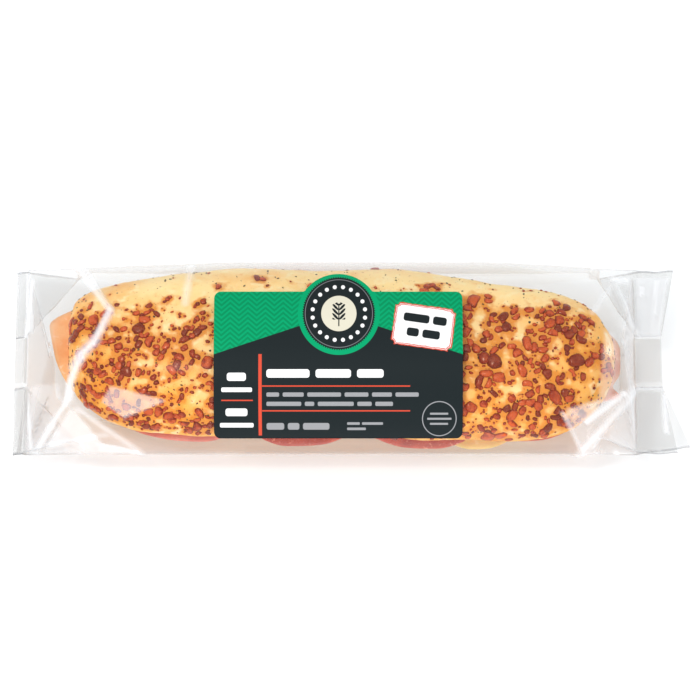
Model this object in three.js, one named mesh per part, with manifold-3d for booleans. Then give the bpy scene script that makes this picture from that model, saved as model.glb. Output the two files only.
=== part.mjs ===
// A submarine sandwich in its sealed clear bag, lying on its flat underside, with a printed label on it.
// Millimetres, +Z up, +X along the bag, -Y towards the front. The bag is solid to the outside of its film:
// the film is drawn tight over the roll, comes down to a flat seal at each end and is folded in at the corners.
import * as THREE from "three";
import { mergeVertices } from "three/addons/utils/BufferGeometryUtils.js";
import Module from "manifold-3d";

const wasm = await Module();
wasm.setup();
const { clamp, degToRad, lerp } = THREE.MathUtils;

// The filled roll as the film wraps it, from its left tip to its right tip
const ROLL = {
  left: -110,
  right: 100.5,
  halfWidth: 35,
  height: 50,
  waist: 22, // height of the widest line, where the two halves of the roll meet
  tipWidth: 0.34, // share of the half width that is left at the blunt tips
  leftTaper: 72,
  rightTaper: 52,
  taperPower: 2.2,
  taperFullness: 1.9,
  crownPower: 2.35, // superellipse power of the domed top half
  basePower: 3.2, // superellipse power of the squarer lower half
  baseLift: 8, // how far the underside rises at the tips
  baseFlat: 0.88, // share of the full width above which the underside lies flat
};

// The flat seal at each end, where the film's top and bottom panels meet
const SEAL = { width: 74, height: 18, thickness: 2, neck: 20, wingThickness: 0.35 };
const LEFT_SEAL = { inner: -118.5, length: 5, droop: 20, pinch: 0, wave: 0.5, tuckReach: 22, splay: 0 };
const RIGHT_SEAL = { inner: 104.5, length: 15, droop: 0, pinch: 5, wave: 0.8, tuckReach: 16, splay: 10 };
const WAVE_LENGTH = 11; // of the waves that run across a seal's wings
const TUCK_SPREAD = degToRad(38); // of the part of each side that folds in, above and below its middle

// The label: a rounded rectangle with a round crest, cut square to the way it faces
const LABEL = {
  width: 90.2,
  height: 52.6,
  corner: 2.4,
  crestRadius: 15.2,
  crestRise: 6.4, // of the crest above the label's top edge
  middle: -4.3, // of label and crest along X
  lowEdge: -19.7, // of the label's lower edge, measured up its own plane from the bag's origin
  faces: degToRad(65), // elevation of the way it faces
  thickness: 0.25,
  gap: 0.3, // of the glue between film and label
};

// How finely the curved surfaces are faceted
const DIRECTIONS = 64;
const FLAT_POINTS = 7;
const ROLL_STATIONS = 40;
const SEAL_STATIONS = 5;
const LABEL_COLUMNS = 26;
const LABEL_ROWS = 26;

const directionAngle = (j) => (2 * Math.PI * j) / DIRECTIONS;

// Share of the full width at a distance from a tip
function taper(distance, length) {
  const inside = clamp(distance / length, 0, 1);
  return lerp(ROLL.tipWidth, 1, (1 - (1 - inside) ** ROLL.taperPower) ** (1 / ROLL.taperFullness));
}

// Size of the roll's section at x
function rollSection(x) {
  const share = Math.min(taper(x - ROLL.left, ROLL.leftTaper), taper(ROLL.right - x, ROLL.rightTaper));
  const lift = ROLL.baseLift * Math.max(0, 1 - share / ROLL.baseFlat) ** 2;
  return {
    halfWidth: ROLL.halfWidth * share,
    crown: (ROLL.height - ROLL.waist) * share ** 0.85,
    base: ROLL.waist - lift,
  };
}

// How far a section reaches in one direction: its support line's distance from the X axis
function sectionReach(section, angle) {
  const c = Math.cos(angle);
  const s = Math.sin(angle);
  const power = s > 0 ? ROLL.crownPower : ROLL.basePower;
  const rise = s > 0 ? section.crown : section.base;
  const dual = power / (power - 1);
  const reach = (Math.abs(section.halfWidth * c) ** dual + Math.abs(rise * s) ** dual) ** (1 / dual);
  return reach + ROLL.waist * s;
}

// How far a flat seal reaches in one direction
function sealReach(angle) {
  const across = (SEAL.width / 2) * Math.abs(Math.cos(angle));
  return across + (SEAL.thickness / 2) * Math.abs(Math.sin(angle)) + SEAL.height * Math.sin(angle);
}

// Reach of film drawn tight along X over points given as [x, reach], sorted by x: their upper hull
function tightReach(points) {
  const hull = [];
  for (const point of points) {
    while (hull.length > 1) {
      const [ax, ar] = hull[hull.length - 2];
      const [bx, br] = hull[hull.length - 1];
      if ((br - ar) * (point[0] - ax) > (point[1] - ar) * (bx - ax)) break;
      hull.pop();
    }
    hull.push(point);
  }
  return (x) => {
    const next = Math.max(1, hull.findIndex((point) => point[0] >= x));
    const [ax, ar] = hull[next - 1];
    const [bx, br] = hull[next];
    return lerp(ar, br, (x - ax) / (bx - ax));
  };
}

// Stations along the roll, closer together towards its tips
const rollStations = Array.from({ length: ROLL_STATIONS }, (_, i) => {
  const swing = Math.cos((Math.PI * i) / (ROLL_STATIONS - 1));
  return lerp(ROLL.right, ROLL.left, (1 + swing) / 2);
});

const reaches = Array.from({ length: DIRECTIONS }, (_, j) => {
  const angle = directionAngle(j);
  return tightReach([
    [LEFT_SEAL.inner, sealReach(angle)],
    ...rollStations.map((x) => [x, sectionReach(rollSection(x), angle)]),
    [RIGHT_SEAL.inner, sealReach(angle)],
  ]);
});

// The bag's section at x before its sides are tucked: the points where neighbouring support lines cross,
// with more along its flat top and underside, and one in the middle of each side for the tuck to fold along
function tightRing(x) {
  const step = (2 * Math.PI) / DIRECTIONS;
  const quarter = DIRECTIONS / 4;
  const ring = reaches.map((reach, j) => {
    const a = directionAngle(j);
    const b = a + step;
    const ra = reach(x);
    const rb = reaches[(j + 1) % DIRECTIONS](x);
    const y = (ra * Math.sin(b) - rb * Math.sin(a)) / Math.sin(step);
    const z = (rb * Math.cos(a) - ra * Math.cos(b)) / Math.sin(step);
    return { y, z, angle: directionAngle(j + 0.5) };
  });
  return ring.flatMap((corner, j) => {
    const before = ring[(j + DIRECTIONS - 1) % DIRECTIONS];
    if (j % quarter) return [corner];
    const count = j % (2 * quarter) ? FLAT_POINTS : 1;
    const between = Array.from({ length: count }, (_, i) => {
      const share = (i + 1) / (count + 1);
      const angle = directionAngle(j - 0.5 + share);
      return { y: lerp(before.y, corner.y, share), z: lerp(before.z, corner.z, share), angle };
    });
    return [...between, corner];
  });
}

// How far the side tucks have folded in at x: 0 in the body, 1 at a seal
function tuckShare(x) {
  const shares = [LEFT_SEAL, RIGHT_SEAL].map((seal) => 1 - Math.abs(x - seal.inner) / seal.tuckReach);
  return clamp(Math.max(...shares), 0, 1);
}

// The bag's section at x as 3-D points, with its sides folded in as far as the neck of the seals
function bodyRing(x) {
  const ring = tightRing(x);
  const sides = ring.filter(({ angle }) => Math.abs(Math.cos(angle)) > Math.cos(TUCK_SPREAD));
  const low = Math.min(...sides.map(({ z }) => z));
  const high = Math.max(...sides.map(({ z }) => z));
  const share = tuckShare(x);
  const depth = (share * (SEAL.width - SEAL.neck)) / 2;
  const lipSine = Math.sin(directionAngle(0.6));
  return ring.map(({ y, z, angle }) => {
    const fromFold = Math.min(1, Math.abs((2 * z - low - high) / (high - low)));
    const folded = depth * (1 - fromFold) * Math.sign(Math.cos(angle));
    const lip = Math.abs(Math.sin(angle)) < lipSine ? share * fromFold * SEAL.wingThickness : 0;
    return [x, y - folded, z - lip * Math.sign(Math.sin(angle))];
  });
}

// A ring of a seal at a share of its length from the body: hanging a little, drawn in at its neck and waved
// along its wings, with the lower front wing turned outwards
function sealRing(seal, share) {
  const outward = Math.sign(seal.inner);
  const reach = seal.length * share;
  const droop = degToRad(seal.droop);
  const turn = degToRad(seal.splay);
  const ring = tightRing(seal.inner);
  return bodyRing(seal.inner).map(([x, y, z], j) => {
    const alongWing = Math.max(0, Math.abs(y) - SEAL.neck / 2);
    const wing = alongWing / ((SEAL.width - SEAL.neck) / 2);
    const turned = y < 0 && Math.sin(ring[j].angle) < -0.01 ? share * alongWing : 0;
    const wave = share * seal.wave * Math.sqrt(wing) * Math.sin((2 * Math.PI * reach) / WAVE_LENGTH);
    const out = reach * Math.cos(droop) - share * seal.pinch * (1 - wing) + turned * Math.sin(turn);
    return [x + outward * out, y + (turned * Math.sin(turn)) / 2, z - reach * Math.sin(droop) + wave];
  });
}

// A geometry with coinciding points made one, and the faces that this leaves without area taken out
function weld(points, faces) {
  const raw = new THREE.BufferGeometry()
    .setAttribute("position", new THREE.Float32BufferAttribute(points.flat(), 3))
    .setIndex(faces);
  const welded = mergeVertices(raw, 1e-3);
  const kept = [];
  for (let i = 0; i < welded.index.count; i += 3) {
    const [a, b, c] = [0, 1, 2].map((k) => welded.index.getX(i + k));
    if (a !== b && b !== c && c !== a) kept.push(a, b, c);
  }
  return welded.setIndex(kept);
}

// The faces that close an end ring, as numbers of its points
function capFaces(ring) {
  const distinct = ring.map((_, j) => j).filter((j) => {
    const [, y, z] = ring[j];
    const [, py, pz] = ring[(j + ring.length - 1) % ring.length];
    return Math.hypot(y - py, z - pz) > 1e-3;
  });
  const outline = distinct.map((j) => new THREE.Vector2(ring[j][1], ring[j][2]));
  return THREE.ShapeUtils.triangulateShape(outline, []).map((face) => face.map((k) => distinct[k]));
}

// A closed geometry lofted through rings of equally many points, with a cap on each end ring
function loft(rings) {
  const count = rings[0].length;
  const faces = [];
  const at = (ring, j) => ring * count + (j % count);
  const last = rings.length - 1;
  for (let ring = 0; ring < last; ring++) {
    for (let j = 0; j < count; j++) {
      faces.push(at(ring, j), at(ring, j + 1), at(ring + 1, j));
      faces.push(at(ring, j + 1), at(ring + 1, j + 1), at(ring + 1, j));
    }
  }
  for (const [a, b, c] of capFaces(rings[0])) faces.push(at(0, a), at(0, c), at(0, b));
  for (const [a, b, c] of capFaces(rings[last])) faces.push(at(last, a), at(last, b), at(last, c));
  return weld(rings.flat(), faces);
}

function bagGeometry() {
  const shares = Array.from({ length: SEAL_STATIONS }, (_, i) => i / (SEAL_STATIONS - 1));
  const left = shares.map((share) => sealRing(LEFT_SEAL, share)).reverse();
  const right = shares.map((share) => sealRing(RIGHT_SEAL, share));
  return loft([...left, ...rollStations.map(bodyRing), ...right]);
}

// The way the label faces, and the direction that runs up its face
const labelNormal = new THREE.Vector3(0, -Math.cos(LABEL.faces), Math.sin(LABEL.faces));
const labelUp = new THREE.Vector3(0, Math.sin(LABEL.faces), Math.cos(LABEL.faces));

// The point of the bag's surface at x that lies at a height up the label's plane, raised off the surface
function labelPoint(x, up, raised) {
  const ring = tightRing(x).map(({ y, z, angle }) => ({ point: new THREE.Vector3(x, y, z), angle }));
  for (let j = 0; j < ring.length - 1; j++) {
    const [a, b] = [ring[j], ring[j + 1]];
    const upper = a.point.dot(labelUp);
    const lower = b.point.dot(labelUp);
    const facing = (a.angle + b.angle) / 2;
    const towards = Math.cos(facing) * labelNormal.y + Math.sin(facing) * labelNormal.z;
    if (towards <= 0 || upper < up || lower > up) continue;
    const share = (upper - up) / (upper - lower);
    const angle = lerp(a.angle, b.angle, share);
    const normal = new THREE.Vector3(0, Math.cos(angle), Math.sin(angle));
    return a.point.lerp(b.point, share).addScaledVector(normal, raised);
  }
  throw new Error(`the bag has no surface for the label at ${x}, ${up}`);
}

// A sheet that lies on the bag, larger than the label all round
function sheetGeometry() {
  const margin = 1;
  const low = LABEL.lowEdge - margin;
  const high = LABEL.lowEdge + LABEL.height + LABEL.crestRise + margin;
  const half = LABEL.width / 2 + margin;
  const rings = Array.from({ length: LABEL_COLUMNS + 1 }, (_, i) => {
    const x = LABEL.middle + lerp(-half, half, i / LABEL_COLUMNS);
    const heights = Array.from({ length: LABEL_ROWS + 1 }, (_, k) => lerp(high, low, k / LABEL_ROWS));
    const face = heights.map((up) => labelPoint(x, up, LABEL.gap + LABEL.thickness));
    const back = heights.map((up) => labelPoint(x, up, LABEL.gap)).reverse();
    return [...face, ...back].map((point) => point.toArray());
  });
  return loft(rings);
}

// The label's outline, drawn flat with its lower edge's middle at the origin and pushed through the sheet
function outlineGeometry() {
  const half = LABEL.width / 2;
  const { corner, height, crestRadius } = LABEL;
  const crestDrop = crestRadius - LABEL.crestRise;
  const crestHalf = Math.sqrt(crestRadius ** 2 - crestDrop ** 2);
  const crestAngle = Math.atan2(crestDrop, crestHalf);
  const outline = new THREE.Shape();
  outline.moveTo(corner - half, 0);
  outline.absarc(half - corner, corner, corner, -Math.PI / 2, 0, false);
  outline.absarc(half - corner, height - corner, corner, 0, Math.PI / 2, false);
  outline.absarc(0, height - crestDrop, crestRadius, crestAngle, Math.PI - crestAngle, false);
  outline.absarc(corner - half, height - corner, corner, Math.PI / 2, Math.PI, false);
  outline.absarc(corner - half, corner, corner, Math.PI, 1.5 * Math.PI, false);
  const stage = new THREE.Matrix4().makeBasis(new THREE.Vector3(1, 0, 0), labelUp, labelNormal);
  stage.setPosition(labelUp.clone().multiplyScalar(LABEL.lowEdge).setX(LABEL.middle));
  const through = { depth: 2 * ROLL.height, bevelEnabled: false, curveSegments: 14 };
  return new THREE.ExtrudeGeometry(outline, through).applyMatrix4(stage);
}

// A solid for cutting, from a closed geometry
function solidOf(geometry) {
  const bare = new THREE.BufferGeometry().setAttribute("position", geometry.getAttribute("position"));
  if (geometry.index) bare.setIndex(geometry.index);
  const welded = mergeVertices(bare, 1e-4);
  return new wasm.Manifold(
    new wasm.Mesh({
      numProp: 3,
      vertProperties: new Float32Array(welded.getAttribute("position").array),
      triVerts: new Uint32Array(welded.index.array),
    }),
  );
}

// A geometry from a cut solid
function geometryOf(solid) {
  const mesh = solid.getMesh();
  return new THREE.BufferGeometry()
    .setAttribute("position", new THREE.Float32BufferAttribute(mesh.vertProperties, 3))
    .setIndex(Array.from(mesh.triVerts));
}

function part(name, geometry, look) {
  geometry.computeVertexNormals();
  const mesh = new THREE.Mesh(geometry, new THREE.MeshStandardMaterial(look));
  mesh.name = name;
  return mesh;
}

const bag = part("bag", bagGeometry(), { color: 0xd9a768, roughness: 0.35, metalness: 0 });
const labelGeometry = geometryOf(solidOf(sheetGeometry()).intersect(solidOf(outlineGeometry())));
const label = part("label", labelGeometry, { color: 0x0f7f58, roughness: 0.5, metalness: 0 });

// The bag stands with the middle of its outer box over the origin
const pack = new THREE.Group();
pack.add(bag, label);
const box = new THREE.Box3().setFromObject(pack);
const middle = box.getCenter(new THREE.Vector3());
pack.position.set(-middle.x, -middle.y, -box.min.z);

export default pack;
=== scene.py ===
"""Dresses the bagged submarine sandwich: roll, filling, toasted topping, clear film and printed label."""

import logging
import math
from dataclasses import dataclass, field
from enum import Enum

import bmesh
import bpy
import numpy as np
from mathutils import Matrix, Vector, kdtree, noise


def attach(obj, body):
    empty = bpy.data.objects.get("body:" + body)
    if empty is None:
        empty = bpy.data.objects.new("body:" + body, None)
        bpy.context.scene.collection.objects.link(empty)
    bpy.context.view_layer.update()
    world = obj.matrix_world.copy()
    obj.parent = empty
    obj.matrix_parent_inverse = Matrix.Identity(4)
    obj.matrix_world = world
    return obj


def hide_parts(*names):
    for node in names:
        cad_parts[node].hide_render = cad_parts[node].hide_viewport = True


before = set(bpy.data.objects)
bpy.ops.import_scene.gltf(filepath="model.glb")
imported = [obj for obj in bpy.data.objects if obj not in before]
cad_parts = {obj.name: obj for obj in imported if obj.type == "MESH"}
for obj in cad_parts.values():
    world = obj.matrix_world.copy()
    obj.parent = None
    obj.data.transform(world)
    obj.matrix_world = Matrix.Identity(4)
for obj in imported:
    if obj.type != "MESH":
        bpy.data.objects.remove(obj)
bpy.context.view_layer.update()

MM = 0.001
VIEW_ELEVATION = math.radians(65)
TURN = 2 * math.pi
NORMAL_HEIGHT = 25
TINY = 1e-6
LOG = logging.getLogger("sandwich")
Colour = tuple[float, float, float]
Place = tuple[float, float]
Outline = tuple[Place, ...]


def linear(level: int) -> float:
    """Turns one channel of a colour as a screen shows it, 0 to 255, into linear light."""
    share = level / 255
    return share / 12.92 if share <= 0.04045 else ((share + 0.055) / 1.055) ** 2.4


def srgb(red: int, green: int, blue: int) -> Colour:
    """Turns a colour as a screen shows it, 0 to 255, into linear light."""
    return (linear(red), linear(green), linear(blue))


def smooth(values: np.ndarray, low: float, high: float) -> np.ndarray:
    """A smooth step from 0 at low to 1 at high."""
    share = np.clip((np.asarray(values, float) - low) / (high - low), 0, 1)
    return share * share * (3 - 2 * share)


def run_lengths(points: np.ndarray) -> np.ndarray:
    """How far along a line each of its points lies, from 0 at the first."""
    return np.concatenate([[0], np.cumsum(np.linalg.norm(np.diff(points, axis=0), axis=1))])


def spline(at: np.ndarray, knots: np.ndarray, values: np.ndarray) -> np.ndarray:
    """A smooth curve through values at knots that doesn't overshoot them.

    Args:
        at: Where to read the curve.
        knots: Rising positions of the values.
        values: The curve's value at each knot.

    Returns:
        The curve's value at each position asked for.
    """
    knots, values = np.asarray(knots, float), np.asarray(values, float)
    run, rise = np.diff(knots), np.diff(values)
    slope = rise / run
    tangent = np.concatenate([[slope[0]], (slope[1:] + slope[:-1]) / 2, [slope[-1]]])
    flat = slope[1:] * slope[:-1] <= 0
    tangent[1:-1][flat] = 0
    limit = 3 * np.minimum(np.abs(np.append(slope, slope[-1])), np.abs(np.append(slope[0], slope)))
    tangent = np.sign(tangent) * np.minimum(np.abs(tangent), limit)
    at = np.clip(at, knots[0], knots[-1])
    i = np.clip(np.searchsorted(knots, at) - 1, 0, len(run) - 1)
    t = (at - knots[i]) / run[i]
    a, b = values[i], values[i + 1]
    ta, tb = tangent[i] * run[i], tangent[i + 1] * run[i]
    return a + t * ta + t * t * (3 * (b - a) - 2 * ta - tb) + t * t * t * (2 * (a - b) + ta + tb)


def ripple(points: np.ndarray, size: float, seed: int) -> np.ndarray:
    """Smooth noise between about -1 and 1 at each point.

    Args:
        points: Points in millimetres, one to a row.
        size: Size of the noise's lumps in millimetres.
        seed: Which of many different noises to read.

    Returns:
        One value for each point.
    """
    shift = Vector((seed * 17.31, seed * 5.77, seed * 11.13))
    return np.array([noise.noise(Vector(point) / size + shift) for point in points])


def finder(points: np.ndarray) -> kdtree.KDTree:
    """Makes a tree that finds the nearest of some points.

    Args:
        points: The points, one to a row.

    Returns:
        The tree, which gives a point's number in the rows.
    """
    tree = kdtree.KDTree(len(points))
    for index, point in enumerate(points):
        tree.insert(Vector(point), index)
    tree.balance()
    return tree


def lying_axes(normal: np.ndarray, random: np.random.Generator) -> np.ndarray:
    """Axes for something that lies on a surface, turned at random.

    Args:
        normal: The surface's normal.
        random: Where the turn is drawn from.

    Returns:
        Two directions along the surface and the normal, one to a row.
    """
    tangent = np.cross(normal, random.normal(size=3))
    tangent /= np.linalg.norm(tangent)
    return np.stack([tangent, np.cross(normal, tangent), normal])


def make_mesh(
    name: str, points: np.ndarray, faces: np.ndarray | list, **layers: np.ndarray
) -> bpy.types.Object:
    """Makes a smooth mesh piece.

    Args:
        name: The piece's name.
        points: Vertices in millimetres, one to a row.
        faces: Vertex numbers of each face.
        layers: Values to keep at each vertex, by name, for the finish to read.

    Returns:
        The new object, linked into the scene.
    """
    mesh = bpy.data.meshes.new(name)
    mesh.from_pydata((np.asarray(points) * MM).tolist(), [], [list(map(int, face)) for face in faces])
    mesh.validate()
    for layer, values in layers.items():
        kept = mesh.attributes.new(layer, "FLOAT", "POINT")
        kept.data.foreach_set("value", np.asarray(values, np.float32))
    mesh.polygons.foreach_set("use_smooth", [True] * len(mesh.polygons))
    mesh.update()
    piece = bpy.data.objects.new(name, mesh)
    bpy.context.collection.objects.link(piece)
    return piece


def grid_faces(rows: int, columns: int, wrap: bool) -> list[tuple[int, int, int, int]]:
    """Faces of a grid of points numbered row by row.

    Args:
        rows: How many rows of points.
        columns: How many points in a row.
        wrap: Whether each row closes on itself.

    Returns:
        The faces as vertex numbers.
    """
    last = columns if wrap else columns - 1
    faces = []
    for row in range(rows - 1):
        for column in range(last):
            a = row * columns + column
            b = row * columns + (column + 1) % columns
            faces.append((a, b, b + columns, a + columns))
    return faces


def grid_normals(rows: np.ndarray) -> np.ndarray:
    """Outward normals of a closed sheet.

    Args:
        rows: The sheet as rows by points by (x, y, z), each row closing on itself.

    Returns:
        A normal for each point, in the same layout.
    """
    along = np.gradient(rows, axis=0)
    around = np.roll(rows, -1, 1) - np.roll(rows, 1, 1)
    normal = np.cross(around, along)
    size = np.linalg.norm(normal, axis=2, keepdims=True)
    normal = normal / np.maximum(size, 1e-9)
    middle = len(rows) // 2
    outward = (normal[middle, :, 2] * (rows[middle, :, 2] - NORMAL_HEIGHT)).sum()
    return -normal if outward < 0 else normal


class Sock:
    """A shader value that Python's operators work on: each operator adds the node for it."""

    def __init__(self, shade: "Shade", socket: bpy.types.NodeSocket) -> None:
        """Wraps one output socket of a shader."""
        self.shade = shade
        self.socket = socket

    @property
    def is_vector(self) -> bool:
        """Whether the value is a vector or a colour."""
        return self.socket.type in ("VECTOR", "RGBA")

    def _maths(self, operation: str, *values: "Sock | float | tuple") -> "Sock":
        """Adds a Math node, or a Vector Math node where any value is a vector.

        Args:
            operation: The node's operation.
            values: What it works on, in order.

        Returns:
            The result.
        """
        socks = [value for value in values if isinstance(value, Sock)]
        vector = any(isinstance(value, tuple) for value in values) or any(sock.is_vector for sock in socks)
        kind = "ShaderNodeVectorMath" if vector else "ShaderNodeMath"
        return self.shade.add(kind, {"operation": operation}, dict(enumerate(values)))

    def __add__(self, other: "Sock | float | tuple") -> "Sock":
        """Sum."""
        return self._maths("ADD", self, other)

    def __radd__(self, other: float | tuple) -> "Sock":
        """Sum, reflected."""
        return self._maths("ADD", other, self)

    def __sub__(self, other: "Sock | float | tuple") -> "Sock":
        """Difference."""
        return self._maths("SUBTRACT", self, other)

    def __rsub__(self, other: float | tuple) -> "Sock":
        """Difference, reflected."""
        return self._maths("SUBTRACT", other, self)

    def __mul__(self, other: "Sock | float | tuple") -> "Sock":
        """Product."""
        return self._maths("MULTIPLY", self, other)

    def __truediv__(self, other: "Sock | float | tuple") -> "Sock":
        """Quotient."""
        return self._maths("DIVIDE", self, other)

    def __mod__(self, other: float) -> "Sock":
        """What is left over after whole steps of other, never negative."""
        return self._maths("FLOORED_MODULO", self, other)

    def __abs__(self) -> "Sock":
        """The value without its sign."""
        return self._maths("ABSOLUTE", self)

    def root(self) -> "Sock":
        """Square root."""
        return self._maths("SQRT", self)

    def at_least(self, other: "Sock | float") -> "Sock":
        """The greater of the two."""
        return self._maths("MAXIMUM", self, other)

    def at_most(self, other: "Sock | float") -> "Sock":
        """The lesser of the two."""
        return self._maths("MINIMUM", self, other)

    def turn_from(self, across: "Sock") -> "Sock":
        """The angle, in radians, of the point that lies this far up and some way across."""
        return self._maths("ARCTAN2", self, across)

    def step(self, low: float, high: float) -> "Sock":
        """A smooth step from 0 where the value is low to 1 where it is high."""
        inputs = {"Value": self, "From Min": low, "From Max": high}
        return self.shade.add("ShaderNodeMapRange", {"interpolation_type": "SMOOTHSTEP"}, inputs)

    def blend(self, low: "Sock | Colour", high: "Sock | Colour") -> "Sock":
        """The colour low where the value is 0 and high where it is 1."""
        settings = {"data_type": "RGBA", "clamp_factor": True}
        return self.shade.add("ShaderNodeMix", settings, {"Factor": self, 6: low, 7: high}, 2)


class Shade:
    """A material's node tree while it is being built."""

    def __init__(self, name: str) -> None:
        """Starts a material with an empty tree.

        Args:
            name: The material's name.
        """
        self.material = bpy.data.materials.new(name)
        self.material.use_nodes = True
        self.tree = self.material.node_tree
        self.tree.nodes.clear()

    def add(
        self, kind: str, settings: dict | None = None, inputs: dict | None = None, out: int | str = 0
    ) -> Sock:
        """Adds any node.

        Args:
            kind: The node's type.
            settings: Properties to set on it, before its sockets.
            inputs: Values or links by socket name or number.
            out: Name or number of the output wanted.

        Returns:
            The output, wrapped.
        """
        node = self.tree.nodes.new(kind)
        for key, value in (settings or {}).items():
            setattr(node, key, value)
        for key, value in (inputs or {}).items():
            socket = node.inputs[key]
            if isinstance(value, Sock):
                self.tree.links.new(value.socket, socket)
            elif isinstance(value, tuple) and socket.type == "RGBA":
                socket.default_value = (*value, 1.0)[:4]
            else:
                socket.default_value = value
        return Sock(self, node.outputs[out])

    def place(self) -> Sock:
        """Where the point lies on the object, in millimetres."""
        return self.add("ShaderNodeTexCoord", out="Object") * (1 / MM, 1 / MM, 1 / MM)

    def layer(self, name: str) -> Sock:
        """A value kept at the mesh's vertices."""
        return self.add("ShaderNodeAttribute", {"attribute_name": name}, out="Fac")

    def grain(self, place: Sock, size: float, detail: float = 2.0, rough: float = 0.5) -> Sock:
        """Noise from 0 to 1 whose lumps are about size millimetres across."""
        inputs = {"Vector": place, "Scale": 1 / size, "Detail": detail, "Roughness": rough}
        return self.add("ShaderNodeTexNoise", None, inputs, "Fac")

    def bump(self, height: Sock, depth: float, strength: float = 1.0) -> Sock:
        """A normal tilted by a height from 0 to 1 that stands for a depth in millimetres."""
        inputs = {"Height": height, "Distance": depth * MM, "Strength": strength}
        return self.add("ShaderNodeBump", None, inputs)

    def surface(self, **inputs: "Sock | float | tuple") -> Sock:
        """A principled surface; underscores in names stand for spaces."""
        named = {key.replace("_", " "): value for key, value in inputs.items()}
        return self.add("ShaderNodeBsdfPrincipled", None, named)

    def finish(self, shader: Sock) -> bpy.types.Material:
        """Ends the tree in a shader.

        Args:
            shader: The shader to end in.

        Returns:
            The finished material.
        """
        output = self.tree.nodes.new("ShaderNodeOutputMaterial")
        self.tree.links.new(shader.socket, output.inputs["Surface"])
        return self.material


class View:
    """The way the pack is seen, and the plane that the label and the film's creases are laid out in."""

    towards = np.array([0, -math.cos(VIEW_ELEVATION), math.sin(VIEW_ELEVATION)])
    up = np.array([0, math.sin(VIEW_ELEVATION), math.cos(VIEW_ELEVATION)])

    @classmethod
    def flat(cls, points: np.ndarray) -> np.ndarray:
        """Where points lie on that plane: along X, and up the plane from the pack's middle height."""
        climb = points @ cls.up - BagForm.middle_height * cls.up[2]
        return np.stack([points[..., 0], climb], -1)


@dataclass(frozen=True)
class Seal:
    """Sizes of one end seal in millimetres and degrees."""

    inner: float
    length: float
    droop: float
    pinch: float
    wave: float
    tuck_reach: float
    splay: float


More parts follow.
